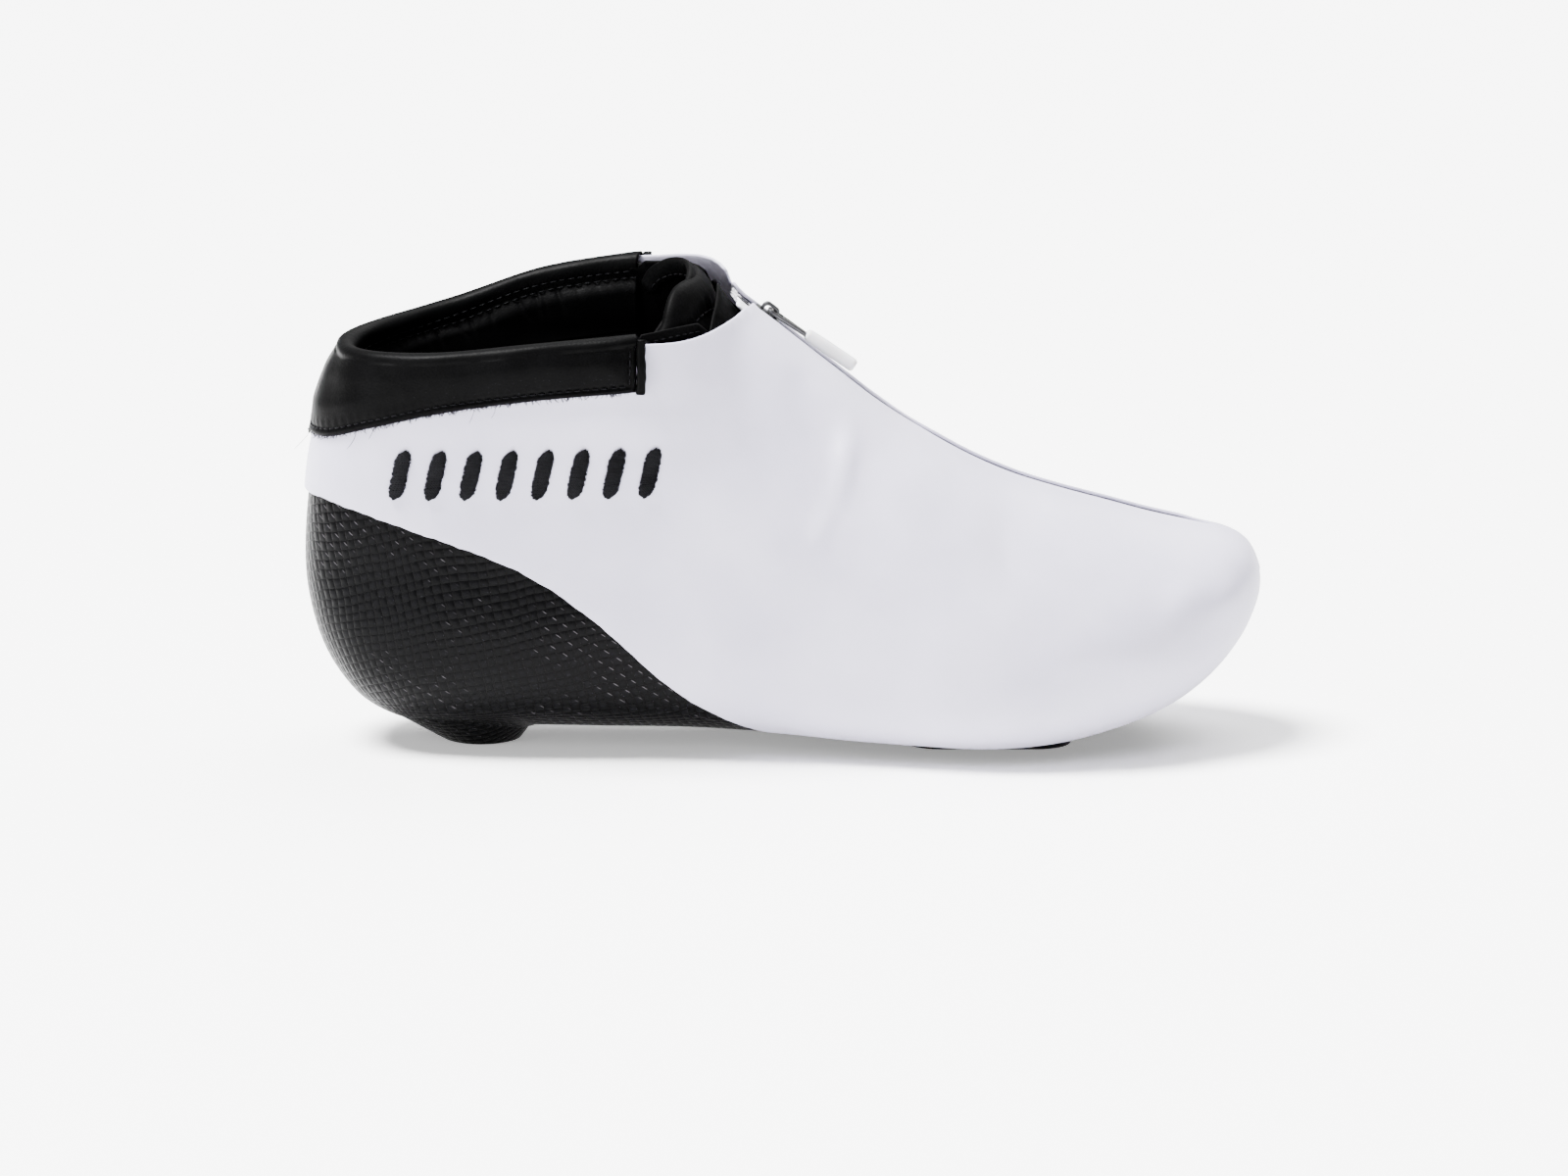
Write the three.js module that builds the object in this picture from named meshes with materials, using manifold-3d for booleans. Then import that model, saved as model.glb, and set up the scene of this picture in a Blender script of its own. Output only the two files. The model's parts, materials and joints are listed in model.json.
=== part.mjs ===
// A low-cut speed-skating boot for the right foot: carbon shell, zipped cover, padded collar.
// Millimetres. +X points to the toe, +Y to the inner (medial) side of the foot, +Z up.
// The origin is on the ground, under the middle of the boot's bounding box.
import * as THREE from 'three';
import { mergeVertices } from 'three/addons/utils/BufferGeometryUtils.js';
import Module from 'manifold-3d';

const wasm = await Module();
wasm.setup();

// ---------------------------------------------------------------- driving dimensions
const BOOT_LENGTH = 285; // heel to toe, outside
const BALL_WIDTH = 101; // across the ball, outside
const RIM_HEIGHT = 141.5; // ground to the top of the inner side's rim

const GAP = 0.3; // clearance between pieces that touch
const COVER_WALL = 1.0;
const CARBON_WALL = 1.8;
const QUARTER_WALL = 1.0;
const LINING_WALL = 1.5;
const BOARD_WALL = 1.5;
const FOOTBED_WALL = 2.8;
const TONGUE_WALL = 2.8;
const ANKLE_PAD_WALL = 3.0;
const COLLAR_LEATHER = 1.9; // padded leather outside the cover
const COLLAR_TOP = 3.0; // leather folded over the rim
const COLLAR_LAP = 5; // how far the collar laps down over the cover
const COLLAR_INNER_DROP = 22; // how far the folded leather runs down inside
const BINDING_WIDTH = 3;
const BINDING_WALL = 2.2;

const SLOT_HALF = 4.4; // cover opening beside the slider's run
const SLIT_HALF = 0.9; // cover opening over the rest of the zip
const CHAIN_SPLIT = 0.6; // half the gap between the two rows of teeth
const CHAIN_HALF = 2.8;
const CHAIN_DEPTH = 1.6;
const TAPE_HALF = 9;
const TAPE_WALL = 0.6;
const SLIDER_LENGTH = 8.5;
const SLIDER_HALF = 3.7;
const SLIDER_CLEAR = 0.45; // running clearance of the slider's plates
const PLATE_WALL = 0.9;
const POST_WALL = 0.6;
const PULL_LENGTH = 13;
const PULL_HALF = 2.8;
const PULL_WALL = 1.1;
const SLEEVE_LENGTH = 17;
const SLEEVE_HALF = 2.6;
const SLEEVE_WALL = 3.2;

const LACING_GAP = 12; // half the gap between the eyestays
const EYELET_ROWS = 5;
const EYELET_INSET = 5; // eyelet centre to eyestay edge
const EYELET_BORE = 2.0;
const EYELET_BARREL = 2.5;
const EYELET_FLANGE = 3.6;
const EYELET_FLANGE_WALL = 0.6;

const HEEL_MOUNT_TOP_RADIUS = 14.5;
const HEEL_MOUNT_FOOT_RADIUS = 11.5;
const MOUNT_SPACING = 165; // heel bolt to front bolt
const BALL_MOUNT_LENGTH = 50;
const BALL_MOUNT_WIDTH = 36;
const BALL_BOLT_PITCH = 29;
const INSERT_RADIUS = 4;
const INSERT_BORE = 2.55;
const INSERT_FLANGE = 8;
const INSERT_RECESS = 0.5;

const COVER_WRAP = 12; // how far the cover wraps in under the sole
const BOARD_INSET = 14; // insole edge to the boot's widest outline
const MOTIF_COUNT = 8;
const MOTIF_WIDTH = 4.6;
const MOTIF_HEIGHT = 14.4;
const MOTIF_PITCH = 10.4;
const MOTIF_SLANT = 3.2;
const MOTIF_THREAD = 0.6;

const STATIONS = 20; // sections along the boot
const FACETS = 20; // sides of each section

// ---------------------------------------------------------------- grading
// The patterns below are drawn for the model size and graded to the size asked for.
const MODEL = { length: 285, width: 101, height: 141.5 };
const GRADE_X = BOOT_LENGTH / MODEL.length;
const GRADE_Y = BALL_WIDTH / MODEL.width;
const GRADE_Z = RIM_HEIGHT / MODEL.height;
const HALF_LENGTH = BOOT_LENGTH / 2;

// Angle of a station: 0 at the heel, pi at the toe.
const stationAngle = (x) => Math.acos(THREE.MathUtils.clamp(-x / HALF_LENGTH, -1, 1));

// Smooth curve through [x, value] points, interpolated over the station angle.
function profile(points, gradeValue) {
  const a = points.map(([x]) => stationAngle(x * GRADE_X));
  const v = points.map(([, value]) => value * gradeValue);
  const slope = a.map((_, i) => {
    const lo = Math.max(i - 1, 0);
    const hi = Math.min(i + 1, a.length - 1);
    return (v[hi] - v[lo]) / (a[hi] - a[lo]);
  });
  return (x) => {
    const t = stationAngle(x);
    let i = 0;
    while (i < a.length - 2 && t > a[i + 1]) i += 1;
    const h = a[i + 1] - a[i];
    const k = THREE.MathUtils.clamp((t - a[i]) / h, 0, 1);
    const k2 = k * k;
    const k3 = k2 * k;
    return (2 * k3 - 3 * k2 + 1) * v[i] + (k3 - 2 * k2 + k) * h * slope[i]
      + (3 * k2 - 2 * k3) * v[i + 1] + (k3 - k2) * h * slope[i + 1];
  };
}

// ---------------------------------------------------------------- the boot's outer form
const soleLine = profile([[-142.5, 57], [-141, 42], [-137.5, 30], [-132, 20], [-125, 12], [-115, 6.7],
  [-103, 4.5], [-85, 4], [-60, 3.8], [-30, 3.6], [0, 2.6], [25, 1], [45, 0.3], [62, 0.4], [80, 2.1],
  [98, 6], [114, 12], [127, 20.5], [136, 30.5], [141, 40], [142.5, 47]], GRADE_Z);
// Over the shaft the top line is only a guide: the shaft is cut open below it.
const crestLine = profile([[-142.5, 57], [-141.5, 73], [-139.2, 90], [-135, 105], [-129, 119],
  [-122, 134], [-112, 152], [-98, 167], [-78, 176], [-58, 174.5], [-44, 168.5], [-30, 156.5],
  [-19, 143.6], [-12, 134.3], [-2, 126.4], [8, 118.5], [18, 110.6], [28, 102.7], [39, 94.6],
  [53, 86.3], [67, 79.9], [81, 75.3], [95, 71.4], [109, 67.6], [122, 64.7], [132, 62.3],
  [138.5, 58.2], [141.6, 52],
  [142.5, 47]], GRADE_Z);
const halfWidth = profile([[-142.5, 0], [-141.4, 9.5], [-138.5, 17], [-133, 23.5], [-125, 28.7],
  [-114, 32.6], [-100, 35.2], [-82, 36.6], [-58, 36.8], [-30, 36.8], [0, 39], [25, 43.5], [45, 48],
  [62, 50.4], [78, 50], [92, 47.8], [105, 43.8], [118, 37.6], [129, 29], [136, 21], [140.6, 11.5],
  [142.5, 0]], GRADE_Y);
const centreLine = profile([[-142.5, 0], [-100, 0], [-60, -0.5], [0, -1.5], [30, -1.3], [60, -0.3],
  [90, 1.5], [118, 3.5], [142.5, 6]], GRADE_Y);
const ridgeLine = profile([[-142.5, 0], [-60, 0], [-24, 4], [-12, 4], [8, 4], [28, 4], [40, 4.6],
  [70, 6.5], [100, 7.5], [128, 7], [142.5, 6]], GRADE_Y);

// Share of the height at which a section is widest.
const widestShare = profile([[-142.5, 0.5], [-125, 0.3], [-100, 0.22], [-60, 0.22], [-20, 0.27],
  [20, 0.31], [60, 0.36], [110, 0.42], [142.5, 0.5]], 1);
// Superellipse exponents of the lower half and of the two upper quarters.
const lower = profile([[-142.5, 2.35], [-60, 2.35], [-10, 2.6], [35, 3], [75, 3.1], [110, 2.8],
  [142.5, 2.35]], 1);
const upperLateral = profile([[-142.5, 2.1], [-120, 2.8], [-50, 2.9], [-10, 2.1], [40, 1.9],
  [142.5, 2]], 1);
const upperMedial = profile([[-142.5, 2.1], [-120, 2.8], [-50, 2.9], [-10, 2.4], [40, 2.35],
  [110, 2.4], [142.5, 2.1]], 1);

// Waist and flare of the shaft over its height, faded out towards the forefoot.
const FLARE = [[0, 1], [38, 1], [60, 0.955], [75, 0.94], [90, 0.99], [105, 1.05], [120, 1.11],
  [140, 1.17], [180, 1.24]];
function flare(x, z) {
  const level = z / GRADE_Z;
  let i = 0;
  while (i < FLARE.length - 2 && level > FLARE[i + 1][0]) i += 1;
  const k = THREE.MathUtils.clamp((level - FLARE[i][0]) / (FLARE[i + 1][0] - FLARE[i][0]), 0, 1);
  const factor = THREE.MathUtils.lerp(FLARE[i][1], FLARE[i + 1][1], k * k * (3 - 2 * k));
  const fade = 1 - THREE.MathUtils.smoothstep(x / GRADE_X, -50, 5);
  return 1 + (factor - 1) * fade;
}

// Point of the outer form: angle 0 at the heel to pi at the toe, turn 0 at the sole, up the
// lateral side to pi at the ridge and down the medial side to 2 pi.
function formPoint(angle, turn) {
  const x = -HALF_LENGTH * Math.cos(angle);
  const low = soleLine(x);
  const high = crestLine(x);
  const share = (1 - Math.cos(turn)) / 2;
  const lateral = Math.sin(turn) >= 0;
  const widest = widestShare(x);
  const exponent = share < widest ? lower(x) : (lateral ? upperLateral(x) : upperMedial(x));
  const reach = share < widest ? (widest - share) / widest : (share - widest) / (1 - widest);
  const round = Math.pow(Math.max(1 - Math.pow(reach, exponent), 0), 1 / exponent);
  const z = low + (high - low) * share;
  const axisY = THREE.MathUtils.lerp(centreLine(x), ridgeLine(x), share);
  const side = centreLine(x) + (lateral ? -1 : 1) * halfWidth(x) * flare(x, z);
  return new THREE.Vector3(x, axisY + (side - axisY) * round, z);
}

function formNormal(angle, turn) {
  const step = 0.02;
  const along = formPoint(angle + step, turn).sub(formPoint(angle - step, turn));
  const around = formPoint(angle, turn + step).sub(formPoint(angle, turn - step));
  return along.cross(around).normalize();
}

// ---------------------------------------------------------------- solids
function solidOf(geometry) {
  const bare = geometry.clone();
  bare.deleteAttribute('normal');
  bare.deleteAttribute('uv');
  const merged = mergeVertices(bare, 1e-4);
  return new wasm.Manifold(new wasm.Mesh({
    numProp: 3,
    vertProperties: new Float32Array(merged.attributes.position.array),
    triVerts: new Uint32Array(merged.index.array),
  }));
}

// The slider's run is straight from the zip's top to RUN_END, so both have a section of their own.
const ZIP_TOP = -12 * GRADE_X;
const RUN_END = 30 * GRADE_X;
const stations = Array.from({ length: STATIONS - 1 }, (_, i) => Math.PI * (i + 1) / STATIONS)
  .concat(stationAngle(ZIP_TOP), stationAngle(RUN_END)).sort((a, b) => a - b);

// Height of the flat strip of facets along the ridge, where the zip lies.
const ridgeTop = (x) => formPoint(stationAngle(x), Math.PI * (1 - 1 / FACETS)).z;

// The outer form moved inwards by depth (outwards when negative), as one closed solid.
function skin(depth) {
  const position = [];
  const index = [];
  const put = (point) => position.push(point.x, point.y, point.z);
  const heel = formPoint(0, Math.PI / 2);
  const toe = formPoint(Math.PI, Math.PI / 2);
  put(heel.setX(heel.x + depth));
  for (const angle of stations) {
    for (let j = 0; j < FACETS; j += 1) {
      const turn = 2 * Math.PI * (j + 0.5) / FACETS;
      put(formPoint(angle, turn).addScaledVector(formNormal(angle, turn), -depth));
    }
  }
  put(toe.setX(toe.x - depth));
  const ring = (i, j) => 1 + i * FACETS + (j % FACETS);
  const rings = stations.length;
  const last = 1 + rings * FACETS;
  for (let j = 0; j < FACETS; j += 1) {
    index.push(0, ring(0, j), ring(0, j + 1));
    index.push(last, ring(rings - 1, j + 1), ring(rings - 1, j));
    for (let i = 0; i < rings - 1; i += 1) {
      index.push(ring(i, j), ring(i + 1, j), ring(i, j + 1));
      index.push(ring(i, j + 1), ring(i + 1, j), ring(i + 1, j + 1));
    }
  }
  const geometry = new THREE.BufferGeometry();
  geometry.setAttribute('position', new THREE.Float32BufferAttribute(position, 3));
  geometry.setIndex(index);
  return solidOf(geometry);
}

const skins = new Map();
function skinAt(depth) {
  const key = depth.toFixed(3);
  if (!skins.has(key)) skins.set(key, skin(depth));
  return skins.get(key);
}
const layer = (outer, inner) => skinAt(outer).subtract(skinAt(inner));

const shapeOf = (points) => new THREE.Shape(points.map(([a, b]) => new THREE.Vector2(a, b)));

// Prism across the boot from an outline in side view, [x, z].
function sidePrism(points, y0 = -90, y1 = 90) {
  const geometry = new THREE.ExtrudeGeometry(shapeOf(points), { depth: y1 - y0, bevelEnabled: false });
  geometry.rotateX(Math.PI / 2);
  geometry.translate(0, y1, 0);
  return solidOf(geometry);
}

// Upright prism from an outline in plan, [x, y].
function planPrism(points, z0, z1) {
  const geometry = new THREE.ExtrudeGeometry(shapeOf(points), { depth: z1 - z0, bevelEnabled: false });
  geometry.translate(0, 0, z0);
  return solidOf(geometry);
}

const RIBBON_STEP = 20;
// Upright prism that follows the ridge line between two offsets, each a number or a function of x.
function ribbon(x0, x1, from, to, z0 = -20, z1 = 260) {
  const value = (offset, x) => (typeof offset === 'function' ? offset(x) : offset);
  const count = Math.max(2, Math.ceil((x1 - x0) / RIBBON_STEP));
  const xs = Array.from({ length: count + 1 }, (_, i) => x0 + (x1 - x0) * i / count);
  const right = xs.map((x) => [x, ridgeLine(x) + value(from, x)]);
  const left = xs.map((x) => [x, ridgeLine(x) + value(to, x)]).reverse();
  return planPrism([...right, ...left], z0, z1);
}

const graded = (points) => points.map(([x, z]) => [x * GRADE_X, z * GRADE_Z]);
const raised = (points, dz) => points.map(([x, z]) => [x, z + dz]);

function meshOf(name, solid, material) {
  const { vertProperties, triVerts } = solid.getMesh();
  const geometry = new THREE.BufferGeometry();
  geometry.setAttribute('position', new THREE.BufferAttribute(new Float32Array(vertProperties), 3));
  geometry.setIndex(new THREE.BufferAttribute(new Uint32Array(triVerts), 1));
  const mesh = new THREE.Mesh(geometry, material);
  mesh.name = name;
  return mesh;
}

// ---------------------------------------------------------------- depths of the layers
const COVER_IN = COVER_WALL;
const CARBON_OUT = COVER_IN + GAP;
const CARBON_IN = CARBON_OUT + CARBON_WALL;
const QUARTER_OUT = CARBON_IN + GAP;
const QUARTER_IN = QUARTER_OUT + QUARTER_WALL;
const LINING_OUT = QUARTER_IN + GAP;
const LINING_IN = LINING_OUT + LINING_WALL;
const BOARD_IN = QUARTER_OUT + BOARD_WALL;
const FOOTBED_OUT = BOARD_IN + GAP;
const FOOTBED_IN = FOOTBED_OUT + FOOTBED_WALL;
const TONGUE_OUT = LINING_IN + GAP;
const TONGUE_IN = TONGUE_OUT + TONGUE_WALL;
const PAD_OUT = LINING_IN + GAP;
const PAD_IN = PAD_OUT + ANKLE_PAD_WALL;
const COLLAR_IN = -GAP;
const COLLAR_OUT = COLLAR_IN - COLLAR_LEATHER;

// ---------------------------------------------------------------- pattern lines, side view
const COLLAR_END = -42; // where the collar stops at the front
const BACK = -160;
const FRONT = 160;
const rimLateral = [[BACK, 121], [-128, 121], [-100, 122], [-72, 125], [COLLAR_END, 127.7]];
const rimMedial = [[BACK, 121], [-128, 121], [-100, 127], [-72, 136], [COLLAR_END, 141.5]];
const collarLower = [[BACK, 93.5], [-134, 94.3], [-120, 98.7], [-100, 104], [-72, 108.3],
  [COLLAR_END, 110.9]];
const carbonBorder = [[BACK, 78.5], [-136, 76.9], [-126, 74.6], [-107, 69], [-88, 62.7], [-76, 57.6],
  [-64, 50.5], [-49, 38.7], [-40, 29.8], [-30, 20.8], [-20, 14], [-10, 9], [2, 4], [10, -8]];
const carbonTop = [[BACK, 88], [-110, 85], [-72, 75], [-46, 58], [-20, 44], [20, 33], [70, 29],
  [110, 31], [FRONT, 36]];
const coverTopLateral = [[-39.5, 124.2], [-30, 124.3], [-24, 125.2], [-16.5, 127.6], [-11, 130],
  [-7, 133], [-4, 150]];
const coverTopMedial = [[-39.5, 139.8], [-30, 141], [-23, 141.4], [-18.5, 140.4], [-15.5, 137],
  [-13.5, 131], [-12, 150]];
const quarterTopLateral = [[-39, 127], [-30, 128.6], [-22, 129.6], [-17, 129.8], [-15, 150]];
const quarterTopMedial = [[-39, 138], [-28, 139.3], [-21, 138.6], [-17, 134], [-15, 150]];

const below = (line, dz = 0) => {
  const top = raised(graded(line), dz);
  return sidePrism([...top, [top.at(-1)[0], -40], [top[0][0], -40]]);
};
const above = (line, dz = 0) => {
  const low = raised(graded(line), dz);
  return sidePrism([...low, [low.at(-1)[0], 300], [low[0][0], 300]]);
};
const behind = (x) => sidePrism([[BACK * GRADE_X, -40], [x, -40], [x, 300], [BACK * GRADE_X, 300]]);
const ahead = (x) => sidePrism([[x, -40], [FRONT * GRADE_X, -40], [FRONT * GRADE_X, 300], [x, 300]]);

const FRONT_X = FRONT * GRADE_X;
const BACK_X = BACK * GRADE_X;
const COLLAR_END_X = COLLAR_END * GRADE_X;
const lateralHalf = (gap) => ribbon(BACK_X, FRONT_X, -90, -gap);
const medialHalf = (gap) => ribbon(BACK_X, FRONT_X, gap, 90);

// Everything under the rim, and everything over it, moved up by dz.
const underRim = (dz) => below(rimMedial, dz).subtract(lateralHalf(0).intersect(above(rimLateral, dz)));
const overRim = (dz) => above(rimLateral, dz).subtract(medialHalf(0).intersect(below(rimMedial, dz)));

// Plan outline of the foot, set in from the widest outline by inset.
function footPlan(inset, x0, x1) {
  const count = 16;
  const middle = (x0 + x1) / 2;
  const half = (x1 - x0) / 2;
  const right = [];
  const left = [];
  for (let i = 0; i <= count; i += 1) {
    const t = Math.PI * (i + 0.5) / (count + 1);
    const x = middle - half * Math.cos(t);
    const pinch = Math.pow(Math.sin(t), 0.45);
    const wide = Math.max(halfWidth(x) - inset, 2) * pinch;
    right.push([x, centreLine(x) - wide]);
    left.unshift([x, centreLine(x) + wide]);
  }
  return [...right, ...left];
}

// ---------------------------------------------------------------- materials
const paint = (color, roughness, metalness = 0) => (
  new THREE.MeshStandardMaterial({ color, roughness, metalness }));
const materials = {
  cover: paint(0xe6e4ec, 0.55),
  carbon: paint(0x2b2c30, 0.32, 0.15),
  leather: paint(0x161617, 0.5),
  lining: paint(0x0d0d0e, 0.85),
  foam: paint(0x3a3a3c, 0.95),
  board: paint(0x8a7a62, 0.9),
  tape: paint(0xe2e0e6, 0.85),
  chain: paint(0xd8d8dc, 0.5),
  metal: paint(0x8d8e92, 0.35, 0.9),
  sleeve: paint(0xeeedf0, 0.5),
  thread: paint(0x121214, 0.7),
  steel: paint(0xa5a7ab, 0.35, 0.9),
  block: paint(0x26272a, 0.4, 0.1),
};

const boot = new THREE.Group();
const add = (name, solid, material) => boot.add(meshOf(name, solid, materials[material]));

// ---------------------------------------------------------------- cover
const ZIP_END = 134 * GRADE_X;
const slotHalf = (x) => THREE.MathUtils.lerp(
  SLOT_HALF, SLIT_HALF, THREE.MathUtils.smoothstep(x, RUN_END, RUN_END + 14));
const coverLayer = layer(0, COVER_IN);
const soleWindow = planPrism(footPlan(COVER_WRAP, -40 * GRADE_X, HALF_LENGTH - COVER_WRAP), -20,
  32 * GRADE_Z);
const zipSlot = ribbon(ZIP_TOP - 30, ZIP_END, (x) => -slotHalf(x), slotHalf, 40 * GRADE_Z);
const aboveBorder = above(carbonBorder).add(ahead(graded(carbonBorder).at(-1)[0] - 1));

function coverPanel(half, topLine) {
  const underCollar = raised(graded(collarLower), COLLAR_LAP);
  const open = graded(topLine);
  const outline = [...underCollar, ...open, [FRONT_X, 150 * GRADE_Z], [FRONT_X, -40], [BACK_X, -40]];
  return coverLayer.intersect(half).intersect(sidePrism(outline)).intersect(aboveBorder)
    .subtract(zipSlot).subtract(soleWindow);
}
add('cover_lateral', coverPanel(lateralHalf(GAP / 2), coverTopLateral), 'cover');
add('cover_medial', coverPanel(medialHalf(GAP / 2), coverTopMedial), 'cover');

// ---------------------------------------------------------------- bolts, mounts and carbon shell
const HEEL_MOUNT_X = -89.4 * GRADE_X;
const FRONT_BOLT_X = HEEL_MOUNT_X + MOUNT_SPACING;
const BALL_MOUNT_X = FRONT_BOLT_X - BALL_BOLT_PITCH / 2;
const boltPlaces = [
  ['insert_heel', HEEL_MOUNT_X],
  ['insert_ball_rear', FRONT_BOLT_X - BALL_BOLT_PITCH],
  ['insert_ball_front', FRONT_BOLT_X],
];

// Upright round solid between two heights, with its own radius at each.
function cone(x, y, lowRadius, highRadius, z0, z1) {
  const geometry = new THREE.CylinderGeometry(highRadius, lowRadius, z1 - z0, 28);
  geometry.rotateX(Math.PI / 2);
  geometry.translate(x, y, (z0 + z1) / 2);
  return solidOf(geometry);
}
const rod = (x, y, radius, z0, z1) => cone(x, y, radius, radius, z0, z1);

const boltY = (x) => centreLine(x);
const clearHoles = boltPlaces.map(([, x]) => rod(x, boltY(x), INSERT_RADIUS + GAP, -5, 24))
  .reduce((all, hole) => all.add(hole));
const mountRoof = skinAt(CARBON_OUT - GAP);

const carbon = layer(CARBON_OUT, CARBON_IN).intersect(below(carbonTop)).subtract(clearHoles);
add('carbon_shell', carbon, 'carbon');

const heelBlock = cone(HEEL_MOUNT_X, boltY(HEEL_MOUNT_X), HEEL_MOUNT_FOOT_RADIUS,
  HEEL_MOUNT_TOP_RADIUS + 5, 0, 14).subtract(mountRoof).subtract(clearHoles);
add('heel_mount_block', heelBlock, 'block');

const ballOutline = new THREE.Shape();
const ballCorner = 10;
const ballX0 = BALL_MOUNT_X - BALL_MOUNT_LENGTH / 2;
const ballX1 = BALL_MOUNT_X + BALL_MOUNT_LENGTH / 2;
const ballY0 = boltY(BALL_MOUNT_X) - BALL_MOUNT_WIDTH / 2;
const ballY1 = boltY(BALL_MOUNT_X) + BALL_MOUNT_WIDTH / 2;
ballOutline.moveTo(ballX0 + ballCorner, ballY0);
ballOutline.lineTo(ballX1 - ballCorner, ballY0);
ballOutline.absarc(ballX1 - ballCorner, ballY0 + ballCorner, ballCorner, -Math.PI / 2, 0);
ballOutline.absarc(ballX1 - ballCorner, ballY1 - ballCorner, ballCorner, 0, Math.PI / 2);
ballOutline.absarc(ballX0 + ballCorner, ballY1 - ballCorner, ballCorner, Math.PI / 2, Math.PI);
ballOutline.absarc(ballX0 + ballCorner, ballY0 + ballCorner, ballCorner, Math.PI, 1.5 * Math.PI);
const ballPlate = solidOf(new THREE.ExtrudeGeometry(ballOutline, {
  depth: 10, bevelEnabled: false, curveSegments: 5 }));
add('ball_mount_block', ballPlate.subtract(mountRoof).subtract(clearHoles), 'block');

const insertFloor = layer(CARBON_IN + GAP, BOARD_IN - GAP);
for (const [name, x] of boltPlaces) {
  const barrel = rod(x, boltY(x), INSERT_RADIUS, INSERT_RECESS, 24).subtract(skinAt(BOARD_IN - 2 * GAP));
  const flange = insertFloor.intersect(rod(x, boltY(x), INSERT_FLANGE, -5, 24));
  const bore = rod(x, boltY(x), INSERT_BORE, -5, 24);
  add(name, barrel.add(flange).subtract(bore), 'steel');
}

// ---------------------------------------------------------------- insole and footbed
const boardX0 = -HALF_LENGTH + BOARD_INSET;
const boardX1 = HALF_LENGTH - BOARD_INSET;
const SOLE_ZONE = 30 * GRADE_Z; // the insole lies below this height
const soleCore = planPrism(footPlan(BOARD_INSET, boardX0, boardX1), -20, SOLE_ZONE);
const soleRoom = planPrism(footPlan(BOARD_INSET - GAP, boardX0 - GAP, boardX1 + GAP), -20,
  SOLE_ZONE + GAP);
const flangeRoom = boltPlaces.map(([, x]) => rod(x, boltY(x), INSERT_FLANGE + GAP, -5, 24))
  .reduce((all, hole) => all.add(hole));
add('insole_board', layer(QUARTER_OUT, BOARD_IN).intersect(soleCore).subtract(flangeRoom), 'board');
const footbedCore = planPrism(footPlan(BOARD_INSET + GAP, boardX0 + GAP, boardX1 - GAP), -20,
  SOLE_ZONE);
add('footbed', layer(FOOTBED_OUT, FOOTBED_IN).intersect(footbedCore), 'foam');

// ---------------------------------------------------------------- inner upper
const VAMP_SEAM = 70 * GRADE_X;
const lacingOpening = (half) => ribbon(ZIP_TOP - 60, VAMP_SEAM + 2, -half, half, 40 * GRADE_Z);
const quarterLayer = layer(QUARTER_OUT, QUARTER_IN);

function eyeletPlace(row, side) {
  const first = 2 * GRADE_X;
  const last = 62 * GRADE_X;
  const x = first + (last - first) * row / (EYELET_ROWS - 1);
  const y = ridgeLine(x) + side * (LACING_GAP + EYELET_INSET);
  const angle = stationAngle(x);
  let turn = Math.PI;
  for (let i = 0; i < 40; i += 1) {
    turn += (y - formPoint(angle, turn).y) / (side * 60) * side;
  }
  return { point: formPoint(angle, turn), normal: formNormal(angle, turn) };
}

function turnedPiece(profilePoints, place, segments) {
  const geometry = new THREE.LatheGeometry(
    profilePoints.map(([r, h]) => new THREE.Vector2(r, h)), segments);
  const turnTo = new THREE.Quaternion().setFromUnitVectors(new THREE.Vector3(0, 1, 0), place.normal);
  geometry.applyQuaternion(turnTo);
  geometry.translate(place.point.x, place.point.y, place.point.z);
  return solidOf(geometry);
}

const eyelets = [];
for (const [sideName, side] of [['lateral', -1], ['medial', 1]]) {
  for (let row = 0; row < EYELET_ROWS; row += 1) {
    eyelets.push({ name: `eyelet_${sideName}_${row + 1}`, place: eyeletPlace(row, side), side });
  }
}
const eyeletHoles = (side) => eyelets.filter((eyelet) => eyelet.side === side)
  .map(({ place }) => turnedPiece([[0, -8], [EYELET_BARREL + GAP, -8], [EYELET_BARREL + GAP, 0],
    [0, 0]], place, 12))
  .reduce((all, hole) => all.add(hole));

function quarterPanel(half, topLine, rim, side) {
  const underRim = raised(graded(rim), -COLLAR_TOP - GAP);
  const outline = [...underRim, ...graded(topLine), [VAMP_SEAM, 150 * GRADE_Z], [VAMP_SEAM, -40],
    [BACK_X, -40]];
  return quarterLayer.intersect(half).intersect(sidePrism(outline))
    .subtract(lacingOpening(LACING_GAP)).subtract(soleRoom).subtract(eyeletHoles(side));
}
add('quarter_lateral', quarterPanel(lateralHalf(GAP / 2), quarterTopLateral, rimLateral, -1),
  'leather');
add('quarter_medial', quarterPanel(medialHalf(GAP / 2), quarterTopMedial, rimMedial, 1), 'leather');
add('inner_vamp', quarterLayer.intersect(ahead(VAMP_SEAM + GAP)).subtract(soleRoom), 'leather');

const flangeFoot = -(QUARTER_OUT - 2 * GAP);
const flangeTop = flangeFoot + EYELET_FLANGE_WALL;
for (const { name, place } of eyelets) {
  add(name, turnedPiece([[EYELET_BORE, flangeTop], [EYELET_BORE, -QUARTER_IN],
    [EYELET_BARREL, -QUARTER_IN], [EYELET_BARREL, flangeFoot],
    [EYELET_FLANGE, flangeFoot], [EYELET_FLANGE, flangeTop], [EYELET_BORE, flangeTop]],
  place, 12), 'steel');
}

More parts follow.
